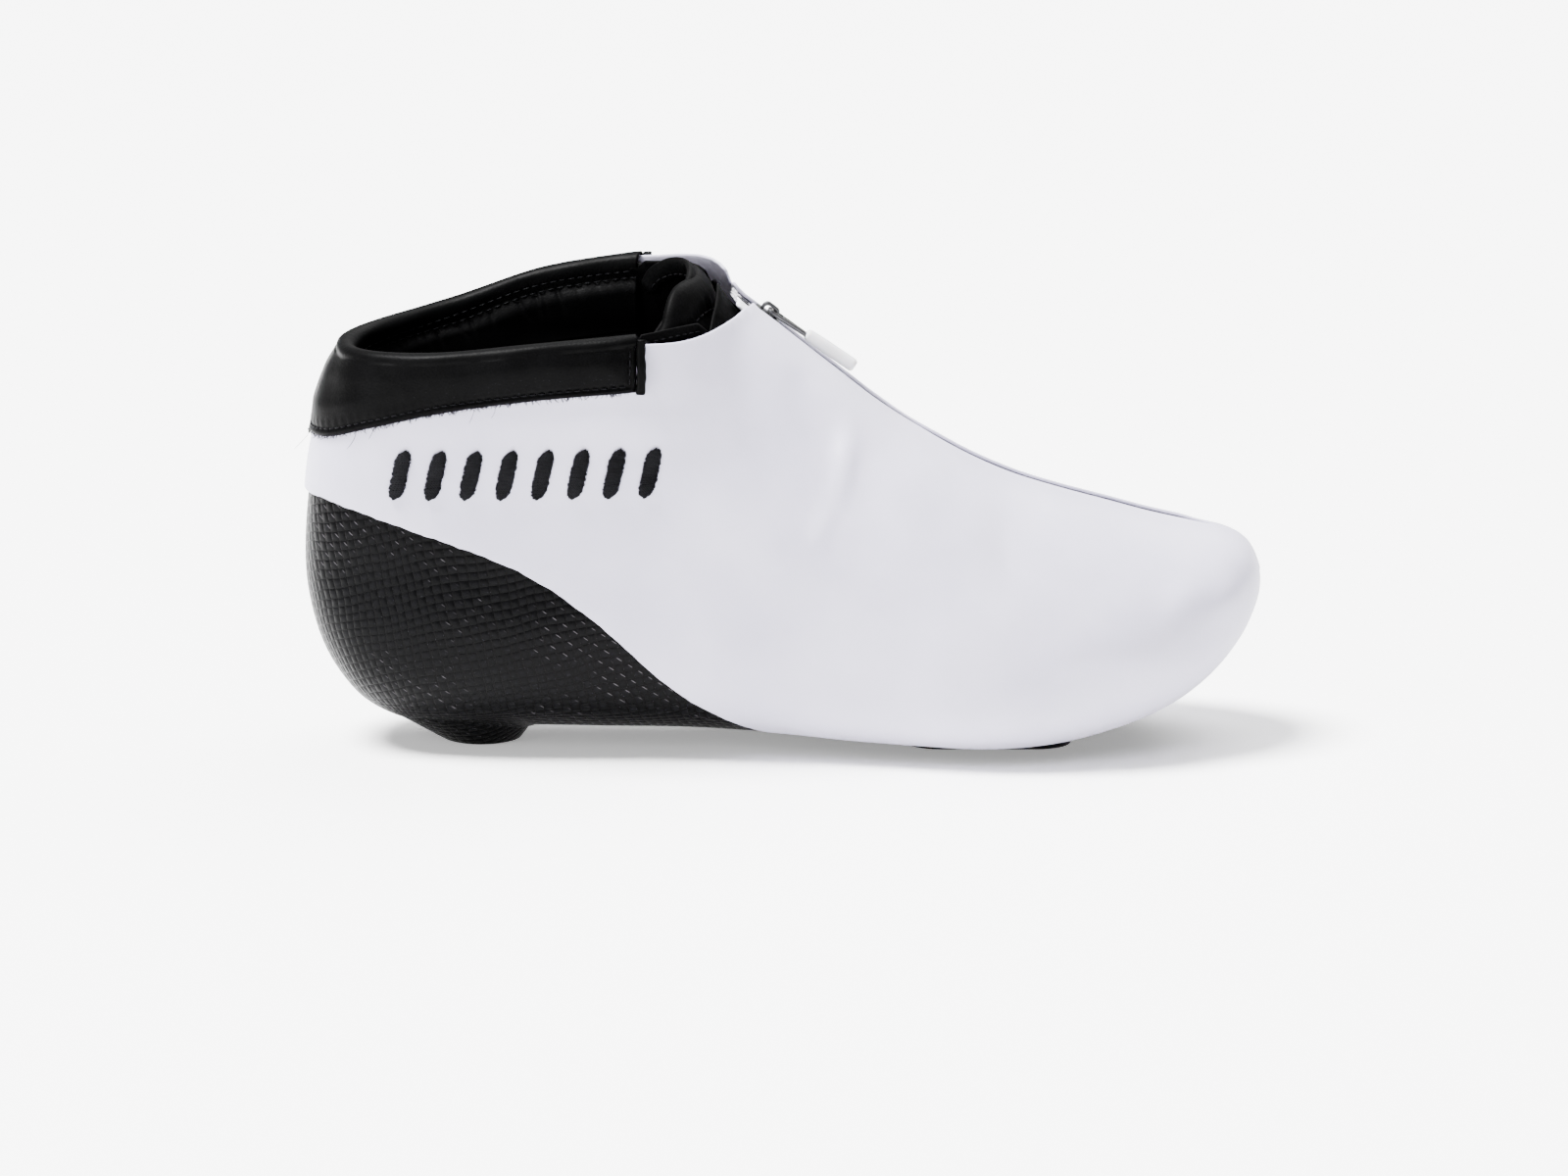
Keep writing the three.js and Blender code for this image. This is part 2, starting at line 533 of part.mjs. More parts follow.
// ---------------------------------------------------------------- collar
const collarOuter = layer(COLLAR_OUT, COLLAR_IN);
const collarWhole = layer(COLLAR_OUT, LINING_IN);
const collarInner = layer(LINING_OUT, LINING_IN);
const collar = collarOuter.intersect(above(collarLower))
  .add(collarInner.intersect(overRim(-COLLAR_INNER_DROP)))
  .add(collarWhole.intersect(overRim(-COLLAR_TOP)))
  .intersect(underRim(0)).intersect(behind(COLLAR_END_X));
add('collar', collar, 'leather');
add('collar_foam', layer(0, CARBON_IN).intersect(underRim(-COLLAR_TOP - GAP))
  .intersect(above(collarLower, COLLAR_LAP + GAP)).intersect(behind(COLLAR_END_X)), 'foam');

const bindingX0 = COLLAR_END_X + GAP;
const bindingX1 = bindingX0 + BINDING_WIDTH;
const bindingZone = sidePrism([[bindingX0, -40], [bindingX1, -40], [bindingX1, 300],
  [bindingX0, 300]]);
const bindingRun = (z0, z1) => sidePrism([[bindingX0 - 5, z0 * GRADE_Z], [bindingX1 + 5, z0 * GRADE_Z],
  [bindingX1 + 5, z1 * GRADE_Z], [bindingX0 - 5, z1 * GRADE_Z]]);
const bindingLayer = layer(COLLAR_IN - BINDING_WALL, COLLAR_IN).intersect(bindingZone);
add('collar_binding_lateral', bindingLayer.intersect(lateralHalf(5)).intersect(bindingRun(110.6, 127)),
  'leather');
add('collar_binding_medial', bindingLayer.intersect(medialHalf(5)).intersect(bindingRun(110.6, 138)),
  'leather');

// ---------------------------------------------------------------- lining, ankle pads, tongue
const LINING_FRONT = 112; // top of the lining ahead of the collar
const LINING_OPENING = 18; // half the gap under the tongue
add('lining', layer(LINING_OUT, LINING_IN)
  .intersect(underRim(-COLLAR_INNER_DROP - GAP).add(ahead(COLLAR_END_X)))
  .subtract(lacingOpening(LINING_OPENING)).subtract(soleRoom)
  .subtract(above([[COLLAR_END - 1, LINING_FRONT], [FRONT, LINING_FRONT]])), 'lining');

const padShape = new THREE.Shape();
padShape.absellipse(-80 * GRADE_X, 72 * GRADE_Z, 17, 14, 0, 2 * Math.PI);
const padGeometry = new THREE.ExtrudeGeometry(padShape, { depth: 180, bevelEnabled: false, curveSegments: 8 });
padGeometry.rotateX(Math.PI / 2);
padGeometry.translate(0, 90, 0);
const padLayer = layer(PAD_OUT, PAD_IN).intersect(solidOf(padGeometry));
add('ankle_pad_lateral', padLayer.intersect(lateralHalf(5)), 'foam');
add('ankle_pad_medial', padLayer.intersect(medialHalf(5)), 'foam');

const TONGUE_HALF = 24;
const TONGUE_TOP = 144 * GRADE_Z;
const tongueZone = sidePrism([[-60 * GRADE_X, 60 * GRADE_Z], [VAMP_SEAM - 6, 60 * GRADE_Z],
  [VAMP_SEAM - 6, 100 * GRADE_Z], [-20 * GRADE_X, TONGUE_TOP], [-60 * GRADE_X, TONGUE_TOP]]);
// Rounded top of the tongue, seen from the front.
const tongueFront = new THREE.Shape();
const TONGUE_MIDDLE = ridgeLine(-30 * GRADE_X) - 2;
const TONGUE_SHOULDER = 122 * GRADE_Z;
tongueFront.moveTo(TONGUE_MIDDLE + 30, 40);
tongueFront.lineTo(TONGUE_MIDDLE + 30, 100 * GRADE_Z);
tongueFront.lineTo(TONGUE_MIDDLE + TONGUE_HALF, TONGUE_SHOULDER);
tongueFront.absellipse(TONGUE_MIDDLE, TONGUE_SHOULDER, TONGUE_HALF, TONGUE_TOP - TONGUE_SHOULDER, 0,
  Math.PI);
tongueFront.lineTo(TONGUE_MIDDLE - 30, 100 * GRADE_Z);
tongueFront.lineTo(TONGUE_MIDDLE - 30, 40);
const tongueRound = new THREE.ExtrudeGeometry(tongueFront, {
  depth: 160 * GRADE_X, bevelEnabled: false, curveSegments: 10 });
tongueRound.applyMatrix4(new THREE.Matrix4().makeBasis(
  new THREE.Vector3(0, 1, 0), new THREE.Vector3(0, 0, 1), new THREE.Vector3(1, 0, 0)));
tongueRound.translate(-60 * GRADE_X, 0, 0);
add('tongue', layer(TONGUE_OUT, TONGUE_IN)
  .intersect(ribbon(-60 * GRADE_X, VAMP_SEAM, -TONGUE_HALF, TONGUE_HALF)).intersect(tongueZone)
  .intersect(solidOf(tongueRound)), 'leather');

// ---------------------------------------------------------------- zip
const chainLayer = layer(CARBON_OUT, CARBON_OUT + CHAIN_DEPTH);
const tapeLayer = layer(CARBON_OUT, CARBON_OUT + TAPE_WALL);
const STOP_LENGTH = 2.2;
for (const [name, side] of [['lateral', -1], ['medial', 1]]) {
  const strip = (x0, x1, near, far) => (side < 0
    ? ribbon(x0, x1, -far, -near, 40 * GRADE_Z) : ribbon(x0, x1, near, far, 40 * GRADE_Z));
  add(`zip_tape_${name}`, tapeLayer.intersect(strip(ZIP_TOP, ZIP_END, CHAIN_HALF + GAP, TAPE_HALF)), 'tape');
  add(`zip_chain_${name}`, chainLayer.intersect(
    strip(ZIP_TOP + STOP_LENGTH + GAP, ZIP_END - STOP_LENGTH - GAP, CHAIN_SPLIT, CHAIN_HALF)), 'chain');
  add(`zip_top_stop_${name}`, chainLayer.intersect(
    strip(ZIP_TOP, ZIP_TOP + STOP_LENGTH, CHAIN_SPLIT, CHAIN_HALF)), 'metal');
}
add('zip_bottom_stop', chainLayer.intersect(
  ribbon(ZIP_END - STOP_LENGTH, ZIP_END, -CHAIN_HALF, CHAIN_HALF, 40 * GRADE_Z)), 'metal');

// Frame of the slider's run: x along the chain towards the toe, z out of the cover.
const SLIDER_X = ZIP_TOP + STOP_LENGTH + SLIDER_LENGTH / 2 + 1.5;
const runStart = new THREE.Vector3(ZIP_TOP, ridgeLine(ZIP_TOP), ridgeTop(ZIP_TOP));
const runEnd = new THREE.Vector3(RUN_END, ridgeLine(RUN_END), ridgeTop(RUN_END));
const runDirection = runEnd.clone().sub(runStart).normalize();
const runAngle = Math.atan2(-runDirection.z, runDirection.x);
const sliderOrigin = runStart.clone().addScaledVector(runDirection, (SLIDER_X - ZIP_TOP) / runDirection.x);

function placeOnRun(solid) {
  const matrix = new THREE.Matrix4().makeRotationY(runAngle);
  matrix.setPosition(sliderOrigin);
  return solid.transform(matrix.elements);
}
function block(x0, x1, halfY, z0, z1) {
  const geometry = new THREE.BoxGeometry(x1 - x0, 2 * halfY, z1 - z0);
  geometry.translate((x0 + x1) / 2, 0, (z0 + z1) / 2);
  return solidOf(geometry);
}
const uprightPlate = (points, halfY) => sidePrism(points, -halfY, halfY);

const topPlate0 = -CARBON_OUT + SLIDER_CLEAR;
const topPlate1 = topPlate0 + PLATE_WALL;
const lowPlate1 = -CARBON_OUT - CHAIN_DEPTH - SLIDER_CLEAR;
const lowPlate0 = lowPlate1 - PLATE_WALL;
const plateOutline = (taper) => [[-SLIDER_LENGTH / 2, -SLIDER_HALF + taper],
  [SLIDER_LENGTH / 2 - 2, -SLIDER_HALF], [SLIDER_LENGTH / 2, -SLIDER_HALF + 1.4],
  [SLIDER_LENGTH / 2, SLIDER_HALF - 1.4], [SLIDER_LENGTH / 2 - 2, SLIDER_HALF],
  [-SLIDER_LENGTH / 2, SLIDER_HALF - taper]];
const PIN_RADIUS = 0.7;
const BRIDGE_HALF = 1.1;
const BRIDGE_WALL = 0.9;
const bridgeRoom = 2 * PIN_RADIUS + 2 * GAP;
const bridgeTop = topPlate1 + bridgeRoom + BRIDGE_WALL;
const BRIDGE_REACH = 2.6; // half the bridge's length, outside
const bridge = uprightPlate([[-BRIDGE_REACH, topPlate1 - 0.2], [-BRIDGE_REACH, bridgeTop - 0.6],
  [-BRIDGE_REACH + 0.6, bridgeTop], [BRIDGE_REACH - 0.6, bridgeTop], [BRIDGE_REACH, bridgeTop - 0.6],
  [BRIDGE_REACH, topPlate1 - 0.2], [BRIDGE_REACH - BRIDGE_WALL, topPlate1 - 0.2],
  [BRIDGE_REACH - BRIDGE_WALL, bridgeTop - BRIDGE_WALL],
  [-BRIDGE_REACH + BRIDGE_WALL, bridgeTop - BRIDGE_WALL],
  [-BRIDGE_REACH + BRIDGE_WALL, topPlate1 - 0.2]], BRIDGE_HALF);
const slider = planPrism(plateOutline(0.6), topPlate0, topPlate1)
  .add(planPrism(plateOutline(0.6), lowPlate0, lowPlate1))
  .add(block(-SLIDER_LENGTH / 2 + 0.5, -SLIDER_LENGTH / 2 + 3, POST_WALL / 2, lowPlate0, topPlate1))
  .add(bridge);
add('zip_slider', placeOnRun(slider), 'metal');

// The pull turns on its cross bar under the bridge and lies down along the chain at rest.
const pinHeight = topPlate1 + GAP + PIN_RADIUS;
const PULL_LIFT = 0.06; // radians between the pull at rest and the chain
const pullRing = new THREE.Shape();
const RING_INNER = BRIDGE_HALF + GAP + 0.15;
const RING_REACH = BRIDGE_REACH + 1.9;
pullRing.moveTo(-PIN_RADIUS, -PULL_HALF);
pullRing.lineTo(RING_REACH, -PULL_HALF);
pullRing.lineTo(PULL_LENGTH, -1.4);
pullRing.lineTo(PULL_LENGTH, 1.4);
pullRing.lineTo(RING_REACH, PULL_HALF);
pullRing.lineTo(-PIN_RADIUS, PULL_HALF);
pullRing.closePath();
const ringHole = new THREE.Path();
ringHole.moveTo(PIN_RADIUS, -RING_INNER);
ringHole.lineTo(PIN_RADIUS, RING_INNER);
ringHole.lineTo(RING_REACH, RING_INNER);
ringHole.lineTo(RING_REACH, -RING_INNER);
ringHole.closePath();
pullRing.holes.push(ringHole);
const pullPlate = new THREE.ExtrudeGeometry(pullRing, { depth: PULL_WALL, bevelEnabled: false });
pullPlate.translate(0, 0, -PULL_WALL / 2);
const tip = block(PULL_LENGTH - 1, PULL_LENGTH + SLEEVE_LENGTH - 4, 1.4, -PULL_WALL / 2, PULL_WALL / 2);

const sleeveShape = new THREE.Shape();
const sleeveCorner = 1.2;
const sleeveTop = SLEEVE_WALL / 2;
sleeveShape.moveTo(-SLEEVE_HALF + sleeveCorner, -sleeveTop);
sleeveShape.lineTo(SLEEVE_HALF - sleeveCorner, -sleeveTop);
sleeveShape.absarc(SLEEVE_HALF - sleeveCorner, -sleeveTop + sleeveCorner, sleeveCorner, -Math.PI / 2, 0);
sleeveShape.absarc(SLEEVE_HALF - sleeveCorner, sleeveTop - sleeveCorner, sleeveCorner, 0, Math.PI / 2);
sleeveShape.absarc(-SLEEVE_HALF + sleeveCorner, sleeveTop - sleeveCorner, sleeveCorner, Math.PI / 2,
  Math.PI);
sleeveShape.absarc(-SLEEVE_HALF + sleeveCorner, -sleeveTop + sleeveCorner, sleeveCorner, Math.PI,
  1.5 * Math.PI);
const sleeveBar = new THREE.ExtrudeGeometry(sleeveShape, {
  depth: SLEEVE_LENGTH, bevelEnabled: false, curveSegments: 3 });
sleeveBar.applyMatrix4(new THREE.Matrix4().makeBasis(
  new THREE.Vector3(0, 1, 0), new THREE.Vector3(0, 0, 1), new THREE.Vector3(1, 0, 0)));
sleeveBar.translate(PULL_LENGTH, 0, 0);
const sleeveSocket = block(PULL_LENGTH - 1, PULL_LENGTH + SLEEVE_LENGTH - 4 + GAP, 1.4 + GAP,
  -PULL_WALL / 2 - GAP, PULL_WALL / 2 + GAP);

function hangOnPin(solid) {
  const matrix = new THREE.Matrix4().makeRotationY(-PULL_LIFT);
  matrix.setPosition(0, 0, pinHeight);
  return placeOnRun(solid.transform(matrix.elements));
}
add('zip_pull', hangOnPin(solidOf(pullPlate).add(tip)), 'metal');
add('zip_pull_sleeve', hangOnPin(solidOf(sleeveBar).subtract(sleeveSocket)), 'sleeve');

// ---------------------------------------------------------------- embroidered motif
const threadLayer = layer(-GAP - MOTIF_THREAD, -GAP);
const motifStart = -111 * GRADE_X;
const motifLevel = (x) => (85.5 + (x / GRADE_X + 111) * 0.02) * GRADE_Z;
for (let i = 0; i < MOTIF_COUNT; i += 1) {
  const x = motifStart + i * MOTIF_PITCH;
  const z = motifLevel(x);
  const lozenge = sidePrism([
    [x - MOTIF_WIDTH / 2 - MOTIF_SLANT / 2, z - MOTIF_HEIGHT / 2],
    [x + MOTIF_WIDTH / 2 - MOTIF_SLANT / 2, z - MOTIF_HEIGHT / 2],
    [x + MOTIF_WIDTH / 2 + MOTIF_SLANT / 2, z + MOTIF_HEIGHT / 2],
    [x - MOTIF_WIDTH / 2 + MOTIF_SLANT / 2, z + MOTIF_HEIGHT / 2]], -90, 0);
  add(`embroidery_${i + 1}`, threadLayer.intersect(lozenge), 'thread');
}

// ---------------------------------------------------------------- origin under the box's middle
boot.updateMatrixWorld(true);
const box = new THREE.Box3().setFromObject(boot);
boot.position.set(-(box.min.x + box.max.x) / 2, -(box.min.y + box.max.y) / 2, -box.min.z);

export default boot;
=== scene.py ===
"""A low-cut speed-skating boot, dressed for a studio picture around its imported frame."""
import json
import math

import bmesh
import bpy
import numpy as np
from mathutils import Matrix, Vector


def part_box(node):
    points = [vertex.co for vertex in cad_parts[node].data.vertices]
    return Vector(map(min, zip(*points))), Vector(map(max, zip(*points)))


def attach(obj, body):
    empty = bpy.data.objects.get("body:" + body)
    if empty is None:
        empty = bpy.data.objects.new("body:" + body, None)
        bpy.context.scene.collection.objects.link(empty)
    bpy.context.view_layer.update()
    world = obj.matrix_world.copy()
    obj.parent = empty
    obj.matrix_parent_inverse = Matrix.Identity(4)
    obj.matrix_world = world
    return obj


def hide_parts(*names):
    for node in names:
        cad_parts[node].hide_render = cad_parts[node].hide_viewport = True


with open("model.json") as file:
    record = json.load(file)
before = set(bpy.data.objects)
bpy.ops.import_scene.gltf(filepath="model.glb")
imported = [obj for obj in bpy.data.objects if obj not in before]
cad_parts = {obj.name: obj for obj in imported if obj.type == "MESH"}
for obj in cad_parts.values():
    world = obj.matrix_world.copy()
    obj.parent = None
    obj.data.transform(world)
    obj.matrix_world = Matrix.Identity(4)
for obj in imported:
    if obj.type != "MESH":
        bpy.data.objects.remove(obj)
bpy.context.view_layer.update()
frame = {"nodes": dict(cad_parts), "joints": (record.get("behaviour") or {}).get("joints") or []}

MM = 0.001
SIDE_NAME = {-1: "lateral", 1: "medial"}
RNG = np.random.default_rng(7)

# ------------------------------------------------------------------ camera and light
TARGET = Vector((0.0, 0.0, 0.0452))
ELEVATION = math.radians(12.0)
DISTANCE = 1.85
LENS = 143.0


def add_object(name, data):
    obj = bpy.data.objects.new(name, data)
    bpy.context.scene.collection.objects.link(obj)
    return obj


def make_camera():
    data = bpy.data.cameras.new("camera")
    data.lens = LENS
    data.sensor_width = 36.0
    camera = add_object("camera", data)
    back = Vector((0.0, -math.cos(ELEVATION), math.sin(ELEVATION)))
    camera.location = TARGET + back * DISTANCE
    camera.rotation_euler = (-back).to_track_quat("-Z", "Y").to_euler()
    bpy.context.scene.camera = camera


def sun_light(name, place, angle, energy):
    data = bpy.data.lights.new(name, "SUN")
    data.angle = math.radians(angle)
    data.energy = energy
    light = add_object(name, data)
    light.rotation_euler = Vector(place).to_track_quat("Z", "Y").to_euler()


def area_light(name, place, size, energy, aim=(0.0, 0.0, 0.05)):
    data = bpy.data.lights.new(name, "AREA")
    data.shape = "RECTANGLE"
    data.size, data.size_y = size
    data.energy = energy
    light = add_object(name, data)
    light.location = Vector(place)
    light.rotation_euler = (Vector(aim) - Vector(place)).to_track_quat("-Z", "Y").to_euler()


# ------------------------------------------------------------------ pattern of the boot
# The same patterns as the CAD model, in millimetres from the model's own middle.
HALF_LENGTH = 142.5
FACET_DROP = 0.6  # the CAD model's flat facets lie this far under the smooth crest


def station_angle(x):
    return np.arccos(np.clip(-np.asarray(x, float) / HALF_LENGTH, -1.0, 1.0))


def hermite(place, level, slope):
    """Cubic through (place, level) with the given slopes, as a function of the place."""
    def value(t):
        t = np.clip(t, place[0], place[-1])
        i = np.clip(np.searchsorted(place, t, side="left") - 1, 0, len(place) - 2)
        h = place[i + 1] - place[i]
        k = (t - place[i]) / h
        k2, k3 = k * k, k * k * k
        return ((2 * k3 - 3 * k2 + 1) * level[i] + (k3 - 2 * k2 + k) * h * slope[i]
                + (3 * k2 - 2 * k3) * level[i + 1] + (k3 - k2) * h * slope[i + 1])
    return value


def profile(points):
    """Smooth value along the foot, as a function of x, from points that are joined by angle."""
    a = station_angle([p[0] for p in points])
    v = np.array([p[1] for p in points], float)
    index = np.arange(len(a))
    low, high = np.maximum(index - 1, 0), np.minimum(index + 1, len(a) - 1)
    curve = hermite(a, v, (v[high] - v[low]) / (a[high] - a[low]))
    return lambda x: curve(station_angle(x))


sole_line = profile([
    (-142.5, 57), (-141, 42), (-137.5, 30), (-132, 20), (-125, 12), (-115, 6.7), (-103, 4.5),
    (-85, 4), (-60, 3.8), (-30, 3.6), (0, 2.6), (25, 1), (45, 0.3), (62, 0.4), (80, 2.1), (98, 6),
    (114, 12), (127, 20.5), (136, 30.5), (141, 40), (142.5, 47)])
crest_line = profile([
    (-142.5, 57), (-141.5, 73), (-139.2, 90), (-135, 105), (-129, 119), (-122, 134), (-112, 152),
    (-98, 167), (-78, 176), (-58, 174.5), (-44, 168.5), (-30, 156.5), (-19, 143.6), (-12, 134.3),
    (-2, 126.4), (8, 118.5), (18, 110.6), (28, 102.7), (39, 94.6), (53, 86.3), (67, 79.9),
    (81, 75.3), (95, 71.4), (109, 67.6), (122, 64.7), (132, 62.3), (138.5, 58.2), (141.6, 52),
    (142.5, 47)])
half_width = profile([
    (-142.5, 0), (-141.4, 9.5), (-138.5, 17), (-133, 23.5), (-125, 28.7), (-114, 32.6),
    (-100, 35.2), (-82, 36.6), (-58, 36.8), (-30, 36.8), (0, 39), (25, 43.5), (45, 48),
    (62, 50.4), (78, 50), (92, 47.8), (105, 43.8), (118, 37.6), (129, 29), (136, 21),
    (140.6, 11.5), (142.5, 0)])
centre_line = profile([
    (-142.5, 0), (-100, 0), (-60, -0.5), (0, -1.5), (30, -1.3), (60, -0.3), (90, 1.5),
    (118, 3.5), (142.5, 6)])
ridge_line = profile([
    (-142.5, 0), (-60, 0), (-24, 4), (-12, 4), (8, 4), (28, 4), (40, 4.6), (70, 6.5),
    (100, 7.5), (128, 7), (142.5, 6)])
widest_share = profile([
    (-142.5, 0.5), (-125, 0.3), (-100, 0.22), (-60, 0.22), (-20, 0.27), (20, 0.31), (60, 0.36),
    (110, 0.42), (142.5, 0.5)])
lower_exponent = profile([
    (-142.5, 2.35), (-60, 2.35), (-10, 2.6), (35, 3), (75, 3.1), (110, 2.8), (142.5, 2.35)])
upper_lateral = profile([
    (-142.5, 2.1), (-120, 2.8), (-50, 2.9), (-10, 2.1), (40, 1.9), (142.5, 2)])
upper_medial = profile([
    (-142.5, 2.1), (-120, 2.8), (-50, 2.9), (-10, 2.4), (40, 2.35), (110, 2.4), (142.5, 2.1)])
FLARE = np.array([(0, 1), (38, 1), (60, 0.955), (75, 0.94), (90, 0.99), (105, 1.05),
                  (120, 1.11), (140, 1.17), (180, 1.24)])


def smoothstep(x, low, high):
    k = np.clip((np.asarray(x, float) - low) / (high - low), 0.0, 1.0)
    return k * k * (3 - 2 * k)


def flare(x, z):
    i = np.clip(np.searchsorted(FLARE[:, 0], z, side="left") - 1, 0, len(FLARE) - 2)
    k = np.clip((z - FLARE[i, 0]) / (FLARE[i + 1, 0] - FLARE[i, 0]), 0.0, 1.0)
    k = k * k * (3 - 2 * k)
    factor = FLARE[i, 1] + (FLARE[i + 1, 1] - FLARE[i, 1]) * k
    return 1 + (factor - 1) * (1 - smoothstep(x, -50, 5))


def crest(x):
    return crest_line(x) - FACET_DROP * smoothstep(x, -140, -120) * (1 - smoothstep(x, 125, 140))


def unit(vectors):
    return vectors / np.maximum(np.linalg.norm(vectors, axis=-1, keepdims=True), 1e-9)


def full_turn(count):
    """Evenly spaced angles round a circle."""
    return np.arange(count) * 2 * np.pi / count


def form_point(angle, turn):
    """Point of the boot's outer form: angle 0 at the heel, pi at the toe; turn 0 at the sole."""
    angle, turn = np.broadcast_arrays(np.asarray(angle, float), np.asarray(turn, float))
    x = -HALF_LENGTH * np.cos(angle)
    low, high = sole_line(x), crest(x)
    share = (1 - np.cos(turn)) / 2
    lateral = np.sin(turn) >= 0
    widest = widest_share(x)
    upper = np.where(lateral, upper_lateral(x), upper_medial(x))
    exponent = np.where(share < widest, lower_exponent(x), upper)
    reach = np.where(share < widest, (widest - share) / widest, (share - widest) / (1 - widest))
    rounding = np.maximum(1 - np.clip(reach, 0, 1) ** exponent, 0) ** (1 / exponent)
    z = low + (high - low) * share
    middle, ridge = centre_line(x), ridge_line(x)
    axis = middle + (ridge - middle) * share
    side = middle + np.where(lateral, -1.0, 1.0) * half_width(x) * flare(x, z)
    return np.stack([x, axis + (side - axis) * rounding, z], -1)


def form_normal(angle, turn):
    step = 0.02
    along = form_point(angle + step, turn) - form_point(angle - step, turn)
    around = form_point(angle, turn + step) - form_point(angle, turn - step)
    return unit(np.cross(along, around))


def surface(params):
    """Points and outward normals of the outer form at an array of (angle, turn)."""
    angle, turn = params[:, 0], params[:, 1]
    return form_point(angle, turn), form_normal(angle, turn)


def side_turn(x, z, side):
    """Turn of the point at height z in the section at x, on side -1 (lateral) or 1 (medial)."""
    low, high = sole_line(x), crest(x)
    share = np.clip((z - low) / (high - low), 0.0, 1.0)
    turn = np.arccos(1 - 2 * share)
    return np.where(np.asarray(side) < 0, turn, 2 * np.pi - turn)


def side_point(x, z, side, depth=0.0):
    """Point and outward normal at (x, z) on one side of the boot, depth under the outer form."""
    angle = station_angle(x)
    turn = side_turn(x, z, side)
    normal = form_normal(angle, turn)
    return form_point(angle, turn) - normal * np.asarray(depth)[..., None], normal


HEEL_BOLT_X = -89.4
bolt_low, bolt_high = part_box("insert_heel")
SHIFT = np.array([(bolt_low.x + bolt_high.x) / 2 / MM - HEEL_BOLT_X,
                  (bolt_low.y + bolt_high.y) / 2 / MM - float(centre_line(HEEL_BOLT_X)), 0.0])

# Depths of the layers under the outer form, as in the CAD model.
COVER_IN = 1.0
CARBON_OUT, CARBON_IN = 1.3, 3.1
QUARTER_OUT, QUARTER_IN = 3.4, 4.4
LINING_OUT, LINING_IN = 4.7, 6.2
FOOTBED_OUT, FOOTBED_IN = 5.2, 8.0
TONGUE_OUT, TONGUE_IN = 6.5, 9.3

# Pattern lines in side view, x and z.
COLLAR_END = -42.0
RIM_LATERAL = [(-160, 121), (-128, 121), (-100, 122), (-72, 125), (-42, 127.7)]
RIM_MEDIAL = [(-160, 121), (-128, 121), (-100, 127), (-72, 136), (-42, 141.5)]
COLLAR_LOWER = [(-160, 93.5), (-134, 94.3), (-120, 98.7), (-100, 104), (-72, 108.3), (-42, 110.9)]
CARBON_BORDER = [(-160, 78.5), (-136, 76.9), (-126, 74.6), (-107, 69), (-88, 62.7), (-76, 57.6),
                 (-64, 50.5), (-49, 38.7), (-40, 29.8), (-30, 20.8), (-20, 14), (-10, 9), (2, 4),
                 (10, -8)]
CARBON_TOP = [(-160, 88), (-110, 85), (-72, 75), (-46, 58), (-20, 44), (20, 33), (70, 29),
              (110, 31), (160, 36)]
COVER_TOP_LATERAL = [(-60, 124.2), (-39.5, 124.2), (-30, 124.3), (-24, 125.2), (-16.5, 127.6),
                     (-11, 130), (-7, 133), (-4, 150)]
COVER_TOP_MEDIAL = [(-60, 139), (-39.5, 139.8), (-30, 141), (-23, 141.4), (-18.5, 140.4),
                    (-15.5, 137), (-13.5, 131), (-12, 150)]
QUARTER_TOP_LATERAL = [(-60, 126), (-39, 127), (-30, 128.6), (-22, 129.6), (-17, 129.8), (-15, 150)]
QUARTER_TOP_MEDIAL = [(-60, 139), (-39, 139.6), (-28, 140.6), (-21, 140), (-17, 136), (-15, 150)]


def smooth_line(points):
    """Smooth curve through points with rising x, as a function of x."""
    px = np.array([p[0] for p in points], float)
    pz = np.array([p[1] for p in points], float)
    secant = np.diff(pz) / np.diff(px)
    slope = np.concatenate([[secant[0]], (secant[1:] + secant[:-1]) / 2, [secant[-1]]])
    return hermite(px, pz, slope)


rim = {-1: smooth_line(RIM_LATERAL), 1: smooth_line(RIM_MEDIAL)}
collar_lower = smooth_line(COLLAR_LOWER)
carbon_border, carbon_top = smooth_line(CARBON_BORDER), smooth_line(CARBON_TOP)
cover_top = {-1: smooth_line(COVER_TOP_LATERAL), 1: smooth_line(COVER_TOP_MEDIAL)}
quarter_top = {-1: smooth_line(QUARTER_TOP_LATERAL), 1: smooth_line(QUARTER_TOP_MEDIAL)}


# ------------------------------------------------------------------ mesh helpers
def to_object(name, vertices, faces, uv=None):
    mesh = bpy.data.meshes.new(name)
    mesh.from_pydata(((np.asarray(vertices) + SHIFT) * MM).tolist(), [], faces)
    mesh.polygons.foreach_set("use_smooth", [True] * len(mesh.polygons))
    if uv is not None:
        layer = mesh.uv_layers.new(name="cloth")
        loop = np.zeros(len(mesh.loops), int)
        mesh.loops.foreach_get("vertex_index", loop)
        layer.data.foreach_set("uv", (np.asarray(uv)[loop] * MM).ravel())
    mesh.validate()
    return add_object(name, mesh)


def dress(obj, material, body, replaced=()):
    obj.data.materials.clear()
    obj.data.materials.append(material)
    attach(obj, body)
    if replaced:
        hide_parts(*replaced)
    return obj


def apply_modifiers(obj):
    graph = bpy.context.evaluated_depsgraph_get()
    baked = bpy.data.meshes.new_from_object(obj.evaluated_get(graph), depsgraph=graph)
    old = obj.data
    obj.modifiers.clear()
    obj.data = baked
    bpy.data.meshes.remove(old)
    obj.data.polygons.foreach_set("use_smooth", [True] * len(obj.data.polygons))
    return obj


def cut_away(obj, cutter):
    """Take the cutter's volume out of a piece and remove the cutter."""
    cut = obj.modifiers.new("cut", "BOOLEAN")
    cut.operation = "DIFFERENCE"
    cut.object = cutter
    apply_modifiers(obj)
    bpy.data.objects.remove(cutter)


